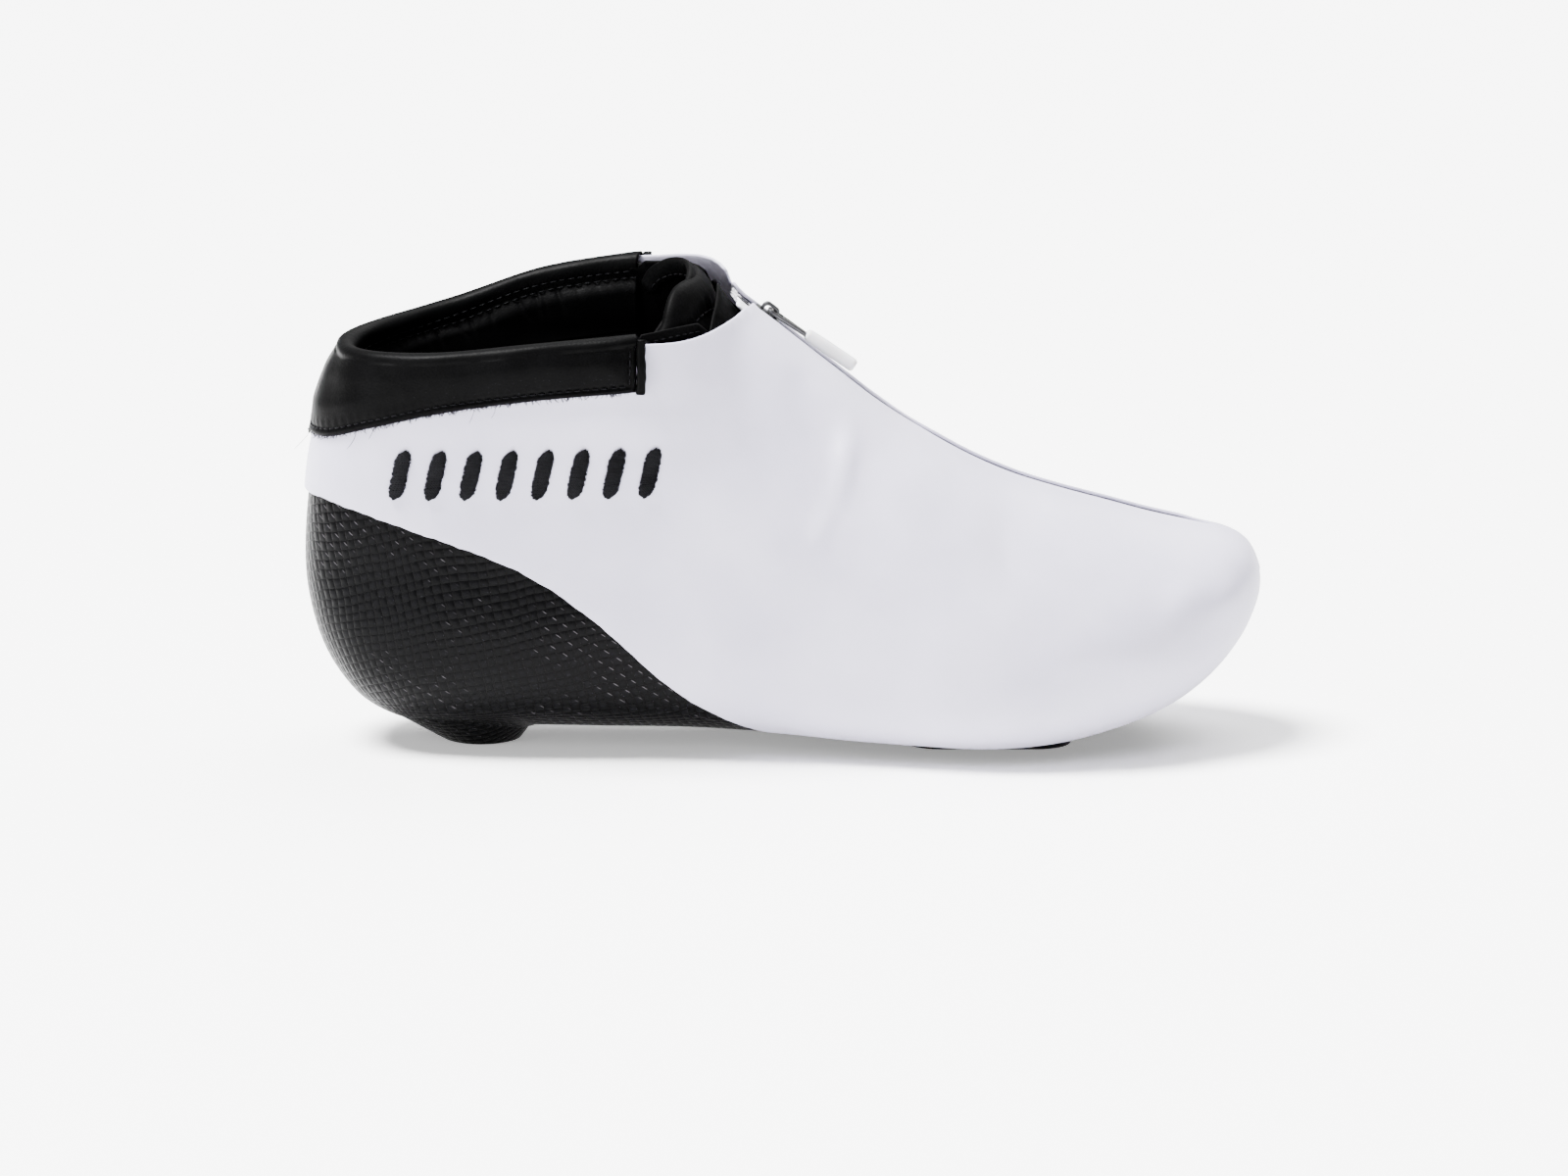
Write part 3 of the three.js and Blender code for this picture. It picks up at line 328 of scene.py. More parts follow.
def tube_faces(rings, sides, first=0):
    """Quads between rings of points, and a flat face over each end."""
    faces = []
    for i in range(rings - 1):
        for j in range(sides):
            k = (j + 1) % sides
            a, b = first + i * sides, first + (i + 1) * sides
            faces.append((a + j, b + j, b + k, a + k))
    last = first + (rings - 1) * sides
    faces.append(tuple(first + j for j in range(sides)))
    faces.append(tuple(last + j for j in reversed(range(sides))))
    return faces


STATION_COUNT, TURN_COUNT = 230, 190


def base_patch():
    """Parameters and quads of the whole outer form."""
    angle = np.linspace(0.004, np.pi - 0.004, STATION_COUNT)
    turn = full_turn(TURN_COUNT)
    grid_a, grid_t = np.meshgrid(angle, turn, indexing="ij")
    params = np.stack([grid_a.ravel(), grid_t.ravel()], -1)
    return params, tube_faces(STATION_COUNT, TURN_COUNT)


def clip(params, faces, field):
    """Keep the part of a patch where field(points) is positive; edges are cut where it is zero."""
    value = field(surface(params)[0], params)
    keep = value > 0
    added, cuts, kept = [], {}, []

    def cut(a, b):
        key = (a, b) if a < b else (b, a)
        if key not in cuts:
            i, j = key
            k = value[i] / (value[i] - value[j])
            ta, tb = params[i, 1], params[j, 1]
            if abs(ta - tb) > np.pi:
                ta, tb = (ta + 2 * np.pi, tb) if ta < tb else (ta, tb + 2 * np.pi)
            added.append((params[i, 0] + (params[j, 0] - params[i, 0]) * k,
                          (ta + (tb - ta) * k) % (2 * np.pi)))
            cuts[key] = len(params) + len(added) - 1
        return cuts[key]

    for face in faces:
        inside = [keep[v] for v in face]
        if all(inside):
            kept.append(face)
        elif any(inside):
            out = []
            for n, v in enumerate(face):
                w = face[(n + 1) % len(face)]
                if keep[v]:
                    out.append(v)
                if keep[v] != keep[w]:
                    out.append(cut(v, w))
            if len(out) >= 3:
                kept.append(tuple(out))
    if added:
        params = np.concatenate([params, np.array(added)])
    used = sorted({v for face in kept for v in face})
    renumber = {v: n for n, v in enumerate(used)}
    return params[used], [tuple(renumber[v] for v in face) for face in kept]


HEEL_AXIS_X = -107.0
HEEL_RADIUS = 34.0


def cloth_uv(points):
    """Millimetres along and up the side walls, wrapped round the heel and in under the sole."""
    x, y, z = points[:, 0], points[:, 1], points[:, 2]
    behind = x < HEEL_AXIS_X
    angle = np.arctan2(HEEL_AXIS_X - x, np.abs(y) + 1e-6)
    u = np.where(behind, HEEL_AXIS_X - HEEL_RADIUS * angle, x)
    rho = np.where(behind, np.hypot(x - HEEL_AXIS_X, y), np.abs(y - centre_line(x)))
    edge = np.where(behind, HEEL_RADIUS, half_width(x)) - 12.0
    v = z - np.maximum(edge - rho, 0.0) * (z < 60)
    return np.stack([u, v * np.where(y < 0, -1.0, 1.0) + 300.0], -1)


def border_edges(faces):
    """Edges with a face on one side only, in the order of the faces."""
    owners = {(f[n], f[(n + 1) % len(f)]): True for f in faces for n in range(len(f))}
    return [(v, w) for v, w in owners if (w, v) not in owners]


def shell(name, fields, outer, inner, relief=None, thickening=None, rim_bulge=1.0):
    """A closed skin between two depths, trimmed by fields, with rounded edges."""
    params, faces = base_patch()
    for field in fields:
        params, faces = clip(params, faces, field)
    base, normal = surface(params)
    shift = relief(base, params) if relief else np.zeros(len(base))
    swell = thickening(base, params) if thickening else np.zeros(len(base))
    top = base + normal * (shift + swell - outer)[:, None]
    low = base + normal * (shift - inner)[:, None]
    count = len(base)
    vertices = [top, low]
    out_faces = [tuple(face) for face in faces]
    out_faces += [tuple(v + count for v in reversed(face)) for face in faces]

    border = border_edges(faces)
    outward = np.zeros((count, 3))
    for v, w in border:
        edge = top[w] - top[v]
        across = np.cross(edge, normal[v] + normal[w])
        outward[v] += across
        outward[w] += across
    outward = unit(outward)
    rim = sorted({v for edge in border for v in edge})
    place = {v: n for n, v in enumerate(rim)}
    steps = 4
    middle = (top[rim] + low[rim]) / 2
    half = (top[rim] - low[rim]) / 2
    radius = np.linalg.norm(half, axis=1, keepdims=True) * rim_bulge
    start = 2 * count
    for s in range(1, steps):
        theta = math.pi * s / steps
        vertices.append(middle + half * math.cos(theta) + outward[rim] * radius * math.sin(theta))
    for v, w in border:
        column_v = [v] + [start + s * len(rim) + place[v] for s in range(steps - 1)] + [v + count]
        column_w = [w] + [start + s * len(rim) + place[w] for s in range(steps - 1)] + [w + count]
        for s in range(steps):
            out_faces.append((column_v[s], column_v[s + 1], column_w[s + 1], column_w[s]))
    vertices = np.concatenate(vertices)
    return to_object(name, vertices, out_faces, cloth_uv(vertices))


def tubes(name, paths, radius, sides=6):
    """One mesh of closed round tubes; radius is one number, or one per path."""
    vertices, faces = [], []
    radii = np.broadcast_to(radius, len(paths))
    for path, r in zip(paths, radii):
        path = np.asarray(path, float)
        tangent = unit(np.gradient(path, axis=0))
        guide = np.array([0.0, 0.0, 1.0]) if abs(tangent[0][2]) < 0.9 else np.array([0.0, 1.0, 0.0])
        first = sum(len(v) for v in vertices)
        for n, (p, t) in enumerate(zip(path, tangent)):
            a = unit(np.cross(t, guide))
            b = np.cross(t, a)
            guide = np.cross(a, t)
            end = 0.55 if n in (0, len(path) - 1) else 1.0
            turn = full_turn(sides)
            vertices.append(p + r * end * (np.cos(turn)[:, None] * a + np.sin(turn)[:, None] * b))
        faces += tube_faces(len(path), sides, first)
    return outward_faces(to_object(name, np.concatenate(vertices), faces))


def outward_faces(obj):
    work = bmesh.new()
    work.from_mesh(obj.data)
    bmesh.ops.recalc_face_normals(work, faces=work.faces)
    work.to_mesh(obj.data)
    work.free()
    return obj


def run_along(points):
    """Distance of each point along the line through them."""
    return np.concatenate([[0], np.cumsum(np.linalg.norm(np.diff(points, axis=0), axis=1))])


def stitches(name, points, normals, pitch=2.6, length=1.9, radius=0.24, lift=0.1):
    """Short raised threads along a line of points, each dipping into the leather at its ends."""
    points, normals = np.asarray(points), np.asarray(normals)
    run = run_along(points)
    paths = []
    for start in np.arange(0.4, run[-1] - length, pitch):
        at = start + np.linspace(0, length, 6)
        p = np.stack([np.interp(at, run, points[:, c]) for c in range(3)], -1)
        n = np.stack([np.interp(at, run, normals[:, c]) for c in range(3)], -1)
        arch = np.sin(np.linspace(0, math.pi, 6))[:, None] * 0.28 - 0.22 + lift
        paths.append(p + n * arch)
    return tubes(name, paths, radius, sides=6)


INNER_SEAM = dict(pitch=2.8, length=2.0, radius=0.2)


def sew(name, points, normals, body="boot", **thread):
    """Stitches in the boot's thread, on one body."""
    return dress(stitches(name, points, normals, **thread), THREAD, body)


# ------------------------------------------------------------------ materials
class Nodes:
    """Small helper to write a node tree in reading order."""

    def __init__(self, name):
        self.material = bpy.data.materials.new(name)
        self.material.use_nodes = True
        self.tree = self.material.node_tree
        self.tree.nodes.clear()
        self.out = self.tree.nodes.new("ShaderNodeOutputMaterial")
        self.shader = self.tree.nodes.new("ShaderNodeBsdfPrincipled")
        self.tree.links.new(self.shader.outputs[0], self.out.inputs[0])

    def set(self, **values):
        for key, value in values.items():
            self.shader.inputs[key.replace("_", " ")].default_value = value
        return self

    def node(self, kind, **settings):
        node = self.tree.nodes.new(kind)
        for key, value in settings.items():
            setattr(node, key, value)
        return node

    def link(self, source, target):
        self.tree.links.new(source, target)

    def coordinate(self):
        return self.node("ShaderNodeTexCoord").outputs["Object"]

    def math(self, operation, a, b=None, clamp=False):
        node = self.node("ShaderNodeMath", operation=operation, use_clamp=clamp)
        for socket, value in zip(node.inputs, (a, b)):
            if value is None:
                continue
            if isinstance(value, (int, float)):
                socket.default_value = value
            else:
                self.link(value, socket)
        return node.outputs[0]

    def add(self, a, b, clamp=False):
        return self.math("ADD", a, b, clamp)

    def subtract(self, a, b):
        return self.math("SUBTRACT", a, b)

    def times(self, a, b, clamp=False):
        return self.math("MULTIPLY", a, b, clamp)

    def noise(self, scale, detail=3.0, roughness=0.5):
        node = self.node("ShaderNodeTexNoise")
        node.inputs["Scale"].default_value = scale
        node.inputs["Detail"].default_value = detail
        node.inputs["Roughness"].default_value = roughness
        self.link(self.coordinate(), node.inputs["Vector"])
        return node.outputs[0]

    def voronoi(self, scale):
        node = self.node("ShaderNodeTexVoronoi")
        node.inputs["Scale"].default_value = scale
        self.link(self.coordinate(), node.inputs["Vector"])
        return node.outputs["Distance"]

    def ramp(self, value, stops):
        node = self.node("ShaderNodeValToRGB")
        elements = node.color_ramp.elements
        while len(elements) < len(stops):
            elements.new(0.5)
        for element, (place, colour) in zip(elements, stops):
            element.position = place
            element.color = (*colour, 1.0) if len(colour) == 3 else colour
        self.link(value, node.inputs[0])
        return node.outputs[0]

    def colour(self, value, low, high, start=0.3, end=0.7):
        self.link(self.ramp(value, [(start, low), (end, high)]), self.shader.inputs["Base Color"])
        return self

    def rough(self, value, low, high):
        node = self.node("ShaderNodeMapRange")
        node.inputs["To Min"].default_value = low
        node.inputs["To Max"].default_value = high
        self.link(value, node.inputs["Value"])
        self.link(node.outputs[0], self.shader.inputs["Roughness"])
        return self

    def bump(self, height, distance, strength=1.0):
        node = self.node("ShaderNodeBump")
        node.inputs["Strength"].default_value = strength
        node.inputs["Distance"].default_value = distance
        self.link(height, node.inputs["Height"])
        earlier = self.shader.inputs["Normal"].links
        if earlier:
            self.link(earlier[0].from_socket, node.inputs["Normal"])
        self.link(node.outputs[0], self.shader.inputs["Normal"])
        return self


def cover_material():
    m = Nodes("cover")
    m.set(Specular_IOR_Level=0.45, Sheen_Weight=0.12, Sheen_Roughness=0.5)
    clouds = m.noise(28.0, 4.0, 0.55)
    m.colour(clouds, (0.40, 0.385, 0.49), (0.47, 0.452, 0.56))
    m.rough(m.noise(60.0, 3.0), 0.40, 0.58)
    m.bump(m.noise(90.0, 3.0, 0.6), 0.00025, 0.5)
    m.bump(m.voronoi(1500.0), 0.00006, 0.35)
    return m.material


def leather_material(name, base=0.0009, gloss=(0.34, 0.5), grain=1300.0):
    m = Nodes(name)
    m.set(Specular_IOR_Level=0.018)
    tone = m.noise(70.0, 5.0, 0.6)
    m.colour(tone, (base * 0.75, base * 0.75, base * 0.8), (base * 1.7, base * 1.7, base * 1.85))
    m.rough(m.noise(160.0, 4.0), *gloss)
    m.bump(m.noise(260.0, 4.0, 0.6), 0.00018, 0.4)
    m.bump(m.voronoi(grain), 0.00008, 0.45)
    return m.material


def woven_material(name, low, high, threads=2600.0, roughness=(0.75, 0.95), gloss=0.05):
    """Fine plain cloth: crossed ribs in object space."""
    m = Nodes(name)
    m.set(Specular_IOR_Level=gloss)
    split = m.node("ShaderNodeSeparateXYZ")
    m.link(m.coordinate(), split.inputs[0])
    along = m.math("SINE", m.times(split.outputs[0], threads))
    level = m.add(split.outputs[1], split.outputs[2])
    up = m.math("SINE", m.times(level, threads))
    ribs = m.times(along, up)
    m.colour(m.noise(120.0, 5.0, 0.6), low, high)
    m.rough(m.noise(300.0), *roughness)
    m.bump(ribs, 0.00012, 0.5)
    return m.material


def carbon_material(name="carbon"):
    """Plain-woven carbon tows under a thin satin resin coat, with painted glints and sheen."""
    m = Nodes(name)
    m.set(Coat_Weight=0.02, Coat_Roughness=0.22, Coat_IOR=1.4, Specular_IOR_Level=0.035)
    pitch, lean = 0.0026, math.radians(-12)
    split = m.node("ShaderNodeSeparateXYZ")
    uv = m.node("ShaderNodeUVMap", uv_map="cloth")
    m.link(uv.outputs[0], split.inputs[0])
    sway = m.times(m.subtract(m.noise(30.0, 2.0), 0.5), 0.006)

    def turned(a, b):
        total = m.add(m.times(split.outputs[0], a), m.times(split.outputs[1], b))
        return m.math("DIVIDE", m.add(total, sway), pitch)
    u = turned(math.cos(lean), math.sin(lean))
    v = turned(-math.sin(lean), math.cos(lean))

    def arch(value):
        centred = m.subtract(m.times(m.math("FRACT", value), 2.0), 1.0)
        return m.subtract(1.0, m.times(centred, centred))

    def band(value, centre, half):
        away = m.math("ABSOLUTE", m.subtract(m.math("FRACT", value), centre))
        return m.math("SUBTRACT", 1.0, m.math("DIVIDE", away, half), clamp=True)
    cell = m.add(m.math("FLOOR", u), m.math("FLOOR", v))
    parity = m.math("ABSOLUTE", m.math("MODULO", cell, 2.0))
    other = m.subtract(1.0, parity)
    warp = m.times(arch(v), m.math("POWER", arch(u), 0.5))
    weft = m.times(arch(u), m.math("POWER", arch(v), 0.5))
    height = m.add(m.times(warp, parity), m.times(weft, other))
    fibres = m.add(m.times(m.math("SINE", m.times(v, 55.0)), parity),
                   m.times(m.math("SINE", m.times(u, 55.0)), other))
    # Painted highlights: bright slanted glint dashes on every other cell, in noise patches, are
    # added to the base colour.
    glint_patches = m.ramp(m.noise(32.0, 3.0, 0.6), [(0.46, (0, 0, 0)), (0.58, (1, 1, 1))])
    slanted = m.add(u, m.times(m.math("FRACT", v), -0.9))
    glint_dash = m.times(band(slanted, 0.42, 0.085), band(v, 0.42, 0.34))
    glint_dash = m.times(glint_dash, 2.2, clamp=True)
    painted_glint = m.times(m.times(glint_dash, glint_patches), parity)
    # Painted sheen and shade: tow crowns and every other cell are lighter and the gaps between tows
    # darker in the base colour.
    tone = m.add(m.times(height, 0.34), m.times(parity, 0.12))
    tone = m.add(tone, m.times(painted_glint, 0.9), clamp=True)
    colour = m.ramp(tone, [(0.0, (0.0003, 0.0003, 0.0004)), (0.25, (0.0006, 0.0006, 0.0008)),
                           (0.5, (0.0021, 0.0020, 0.0026)), (1.0, (0.045, 0.042, 0.046))])
    m.link(colour, m.shader.inputs["Base Color"])
    m.rough(m.add(m.times(parity, 0.35), m.times(height, 0.4)), 0.26, 0.5)
    m.bump(height, 0.0004, 0.55)
    m.bump(fibres, 0.00001, 0.3)
    m.bump(m.noise(55.0, 3.0), 0.0004, 0.2)
    return m.material


def metal_material(name, low, high, roughness=(0.28, 0.48), scale=400.0):
    m = Nodes(name)
    m.set(Metallic=1.0)
    m.colour(m.noise(scale, 4.0), low, high)
    m.rough(m.noise(scale * 2, 4.0), *roughness)
    m.bump(m.noise(scale * 5, 4.0), 0.00002, 0.4)
    return m.material


def plastic_material(name, low, high, roughness, grain=900.0, soft=0.0, gloss=0.4):
    m = Nodes(name)
    m.set(Specular_IOR_Level=gloss, Subsurface_Weight=soft, Subsurface_Scale=0.002)
    m.colour(m.noise(150.0, 4.0), low, high)
    m.rough(m.noise(350.0, 3.0), *roughness)
    m.bump(m.noise(grain, 3.0), 0.00003, 0.5)
    return m.material


def floor_material():
    m = Nodes("floor")
    m.set(Specular_IOR_Level=0.2, Emission_Strength=0.35)
    m.shader.inputs["Emission Color"].default_value = (1.0, 1.0, 1.0, 1.0)
    m.colour(m.noise(3.0, 2.0), (0.965, 0.965, 0.965), (0.975, 0.975, 0.975))
    m.set(Roughness=0.7)
    return m.material


COVER = cover_material()
CARBON = carbon_material()
MOULDED = carbon_material("moulded_carbon")
LEATHER = leather_material("black_leather")
SOFT_LEATHER = leather_material("inner_leather", base=0.0007, gloss=(0.42, 0.6), grain=1000.0)
LINING = woven_material("lining", (0.0015, 0.0015, 0.002), (0.004, 0.004, 0.005))
FOOTBED = woven_material("footbed", (0.010, 0.010, 0.011), (0.03, 0.03, 0.032), threads=1900.0)
FOAM = woven_material("foam", (0.02, 0.02, 0.021), (0.045, 0.045, 0.047), threads=1500.0)
BOARD = plastic_material("board", (0.22, 0.18, 0.13), (0.34, 0.29, 0.22), (0.75, 0.95))
TAPE = woven_material("zip_tape", (0.62, 0.61, 0.66), (0.80, 0.79, 0.83), threads=3300.0)
COIL = plastic_material("zip_coil", (0.60, 0.60, 0.64), (0.76, 0.76, 0.79), (0.35, 0.5))
ZINC = metal_material("zip_metal", (0.028, 0.028, 0.03), (0.065, 0.065, 0.068))
STEEL = metal_material("steel", (0.12, 0.12, 0.122), (0.2, 0.2, 0.203))
SLEEVE = plastic_material("pull_sleeve", (0.58, 0.58, 0.60), (0.66, 0.66, 0.68),
                          (0.38, 0.5), soft=0.15)
BLOCK = plastic_material("mount_block", (0.002, 0.002, 0.0024), (0.006, 0.006, 0.0065),
                         (0.35, 0.55), gloss=0.08)
THREAD = woven_material("thread", (0.0015, 0.0015, 0.002), (0.005, 0.005, 0.006), threads=9000.0,
                        roughness=(0.45, 0.6), gloss=0.04)


# ------------------------------------------------------------------ fields that trim the skins
def under(line):
    return lambda p, q: line(p[:, 0]) - p[:, 2]


def over(line, dz=0.0):
    return lambda p, q: p[:, 2] - line(p[:, 0]) - dz


def side_of(side, gap):
    return lambda p, q: (p[:, 1] - ridge_line(p[:, 0])) * side - gap


def ahead_of(x0):
    return lambda p, q: p[:, 0] - x0


def behind_of(x0):
    return lambda p, q: x0 - p[:, 0]


def foot_plan(inset, sign=1.0, x0=None):
    """Positive inside (or with sign -1 outside) the foot's plan outline, set in by inset."""
    x1 = HALF_LENGTH - inset
    x0 = -x1 if x0 is None else x0
    middle, half = (x0 + x1) / 2, (x1 - x0) / 2

    def field(p, q):
        reach = np.clip((middle - p[:, 0]) / half, -1, 1)
        pinch = np.maximum(1 - reach * reach, 0) ** 0.225
        wide = np.maximum(half_width(p[:, 0]) - inset, 2.0) * pinch
        inside = wide - np.abs(p[:, 1] - centre_line(p[:, 0]))
        inside = np.where(np.abs(p[:, 0] - middle) > half, -1.0, inside)
        return inside * sign
    return field


# How far the edges under the sole stand in from the foot's outline.
COVER_INSET, UPPER_INSET, FOOTBED_INSET = 12.0, 13.7, 14.3


# ------------------------------------------------------------------ cover
# Soft creases of the cover: (x0, z0, x1, z1, width, share of the depth) in side view.
CREASE_DEPTH = 4.2
DEEPEST_DENT = 1.1  # the cover can't sink into the carbon shell
CREASES_LATERAL = [
    (19, 99, 12, 66, 3.2, 0.42), (-8, 100, 28, 62, 9, -0.55), (-22, 86, 12, 44, 12, 0.5),
    (2, 112, 18, 94, 4, -0.35), (30, 88, 62, 60, 9, 0.4), (-30, 112, -14, 88, 7, -0.3),
    (60, 72, 104, 52, 8, -0.4), (-2, 60, 40, 28, 14, -0.5), (112, 50, 134, 44, 6, 0.35),
    (-36, 66, -8, 26, 10, 0.35), (74, 40, 112, 30, 9, 0.3)]
CREASES_MEDIAL = [
    (16, 100, 6, 64, 4, 0.4), (-14, 104, 22, 60, 10, -0.5), (28, 86, 66, 58, 9, 0.45),
    (-30, 80, 4, 38, 12, 0.45), (64, 70, 108, 50, 9, -0.4), (0, 52, 44, 24, 14, -0.45)]


def crease_relief(creases):
    def relief(p, q):
        x, z = p[:, 0], p[:, 2]
        total = np.zeros(len(x))
        for x0, z0, x1, z1, width, height in creases:
            dx, dz = x1 - x0, z1 - z0
            length = math.hypot(dx, dz)
            along = ((x - x0) * dx + (z - z0) * dz) / length
            across = ((x - x0) * dz - (z - z0) * dx) / length
            across = across + 1.6 * np.sin(along / length * math.pi * 1.3 + x0)
            fade = smoothstep(along, -0.15 * length, 0.3 * length)
            fade = fade * (1 - smoothstep(along, 0.7 * length, 1.15 * length))
            total += CREASE_DEPTH * height * fade * np.exp(-(across / width) ** 2)
        ripple = np.sin(x * 0.11 + 0.7 * np.sin(z * 0.09))
        ripple = ripple * np.sin(z * 0.13 + 0.6 * np.sin(x * 0.07))
        total = np.where(total < 0, DEEPEST_DENT * np.tanh(total / DEEPEST_DENT), total)
        return total + 0.16 * ripple
    return relief


ZIP_TOP, RUN_END, ZIP_END = -12.0, 30.0, 134.0
OPEN_SLOT, SHUT_SLOT = 4.2, 0.32  # half width beside the slider's run, and ahead of it
PANEL_GAP = 0.04


def slot_half(x):
    wide = OPEN_SLOT + (SHUT_SLOT - OPEN_SLOT) * smoothstep(x, RUN_END - 6, RUN_END + 12)
    return np.where(x > ZIP_END, PANEL_GAP, wide)


def from_slot(p):
    """Distance across the instep from the edge of the zip's slot."""
    return np.abs(p[:, 1] - ridge_line(p[:, 0])) - slot_half(p[:, 0])


def cover_panel(side):
    uneven = lambda x: 0.10 * np.sin(x * 0.55) + 0.08 * np.sin(x * 1.3 + 1) + 0.05 * np.sin(x * 3.1)
    border = lambda p, q: np.where(
        p[:, 0] < 4, p[:, 2] - carbon_border(p[:, 0]) - uneven(p[:, 0]), 1.0)
    sole_edge = foot_plan(COVER_INSET, -1.0, -40.0)
    sole = lambda p, q: np.where(p[:, 2] > 32, 5.0, sole_edge(p, q))
    top = lambda p, q: np.where(
        p[:, 0] < COLLAR_END - 4, collar_lower(p[:, 0]) + 5 - p[:, 2],
        cover_top[side](p[:, 0]) - p[:, 2])
    slot = lambda p, q: np.where((p[:, 2] < 40) | (p[:, 0] < -60), 9.0, from_slot(p))
    creases = crease_relief(CREASES_LATERAL if side < 0 else CREASES_MEDIAL)

    def relief(p, q):
        hem = np.exp(-((cover_top[side](p[:, 0]) - p[:, 2]) / 2.2) ** 2) * (p[:, 0] > -50)
        zip_edge = np.exp(-(from_slot(p) / 2.0) ** 2)
        zip_edge = zip_edge * (p[:, 2] > 50) * (p[:, 0] > -10)
        puff = 0.0
        if side > 0:
            puff = 1.2 * np.exp(-(from_slot(p) / 6.0) ** 2) * smoothstep(p[:, 0], 22, 50)
            puff = puff * (1 - smoothstep(p[:, 0], 116, 131)) * (p[:, 2] > 45)
        return creases(p, q) * (1 - 0.7 * zip_edge) + 0.35 * hem + 0.3 * zip_edge + puff
    name = f"cover_{SIDE_NAME[side]}"
    panel = shell(name + "_skin", [side_of(side, PANEL_GAP), border, sole, top, slot], 0.0, COVER_IN,
                  relief=relief)
    return dress(panel, COVER, "boot", [name])


# ------------------------------------------------------------------ carbon shell and mounts
BOLTS = {"insert_heel": HEEL_BOLT_X, "insert_ball_rear": 46.6, "insert_ball_front": 75.6}
BOLT_CLEAR = 4.3
FOOT_RIM = 11.6  # radius of the heel foot's contact ring


def carbon_shell():
    def holes(p, q):
        clear = [np.hypot(p[:, 0] - x, p[:, 1] - centre_line(x)) - BOLT_CLEAR
                 for x in BOLTS.values()]
        return np.where(p[:, 2] < 24, np.min(clear, axis=0), 20.0)

    def relief(p, q):
        swell = 0.12 * np.sin(p[:, 0] * 0.12 + 1) * np.sin(p[:, 2] * 0.16)
        foot = np.hypot(p[:, 0] - HEEL_BOLT_X, p[:, 1] - centre_line(HEEL_BOLT_X))
        fillet = 1.5 * np.exp(-(np.maximum(foot - 13.5, 0) / 3.2) ** 2) * (p[:, 2] < 24)
        return swell + fillet
    skin = shell("carbon_skin", [under(carbon_top), holes], CARBON_OUT, CARBON_IN, relief=relief)
    return dress(skin, CARBON, "boot", ["carbon_shell"])


TURNS = 64


def turned_solid(name, outline, place, segments=TURNS, core=0.0, reach=1.0):
    """A solid turned about an upright axis; outline is a closed list of (radius, height).

    What lies outside the core radius is scaled by reach, one number or one per segment.
    """
    vertices, faces = [], []
    turn = full_turn(segments)
    for radius, height in outline:
        radius = radius + max(radius - core, 0.0) * (reach - 1.0) if core else radius
        vertices.append(np.stack([place[0] + radius * np.cos(turn), place[1] + radius * np.sin(turn),
                                  np.full(segments, place[2] + height)], -1))
    rings = len(outline)
    for i in range(rings):
        j = (i + 1) % rings
        for s in range(segments):
            k = (s + 1) % segments
            faces.append((i * segments + s, i * segments + k, j * segments + k, j * segments + s))
    vertices = np.concatenate(vertices)
    return outward_faces(to_object(name, vertices, faces, cloth_uv(vertices)))


def heel_foot():
    """Moulded cone that fairs the heel's contact ring into the shell."""
    outline = [(BOLT_CLEAR, 0.7), (5.0, 0.0), (10.6, 0.0), (FOOT_RIM, 0.3), (12.6, 0.8), (15.0, 2.1),
               (18.5, 4.1), (22.0, 6.1), (25.5, 8.1), (29.0, 10.2), (27.0, 10.9), (22.0, 8.8),
               (14.0, 6.6), (BOLT_CLEAR, 6.2)]
    place = (HEEL_BOLT_X, float(centre_line(HEEL_BOLT_X)), 0.0)
    turn = full_turn(TURNS)
    reach = 0.42 + 0.58 * np.clip(-np.cos(turn), 0.0, 1.0) ** 1.5
    foot = turned_solid("heel_mount_foot", outline, place, core=FOOT_RIM, reach=reach)
    return dress(foot, MOULDED, "boot", ["heel_mount_block"])


def ball_foot():
    """Rounded pad with a broken lower edge, following the CAD block's box."""
    low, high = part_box("ball_mount_block")
    low, high = np.array(low) / MM - SHIFT, np.array(high) / MM - SHIFT
    middle, span = (low + high) / 2, (high - low) / 2
    corner = 10.0
    outline = []
    for quarter in range(4):
        cx = (span[0] - corner) * (1 if quarter in (0, 3) else -1)
        cy = (span[1] - corner) * (1 if quarter in (0, 1) else -1)
        for a in np.linspace(0, np.pi / 2, 9):
            t = a + quarter * np.pi / 2
            outline.append((cx + corner * np.cos(t), cy + corner * np.sin(t)))
    outline = np.array(outline)
    vertices = []
    for shrink, height in ((1.2, 0.0), (0.4, 0.25), (0.0, 0.8), (0.0, 2.6)):
        scale = 1 - shrink / span[:2]
        ring = outline * scale + middle[:2]
        vertices.append(np.column_stack([ring, np.full(len(ring), height)]))
    faces = tube_faces(len(vertices), len(outline))
    pad = outward_faces(to_object("ball_mount_pad", np.concatenate(vertices), faces))
    for bolt in ("insert_ball_rear", "insert_ball_front"):
        x = BOLTS[bolt]
        bore = [(BOLT_CLEAR, -3.0), (BOLT_CLEAR, 9.0), (0.01, 9.0), (0.01, -3.0)]
        cut_away(pad, turned_solid("drill", bore, (x, float(centre_line(x)), 0.0), 40))
    return dress(pad, BLOCK, "boot", ["ball_mount_block"])


# ------------------------------------------------------------------ collar
ANKLE_X = -85.0  # middle of the opening, which the collar runs round
ROLL = 3.0  # height of the rounded rim
INNER_LIP = 4.5  # depth of the folded leather just inside the rim


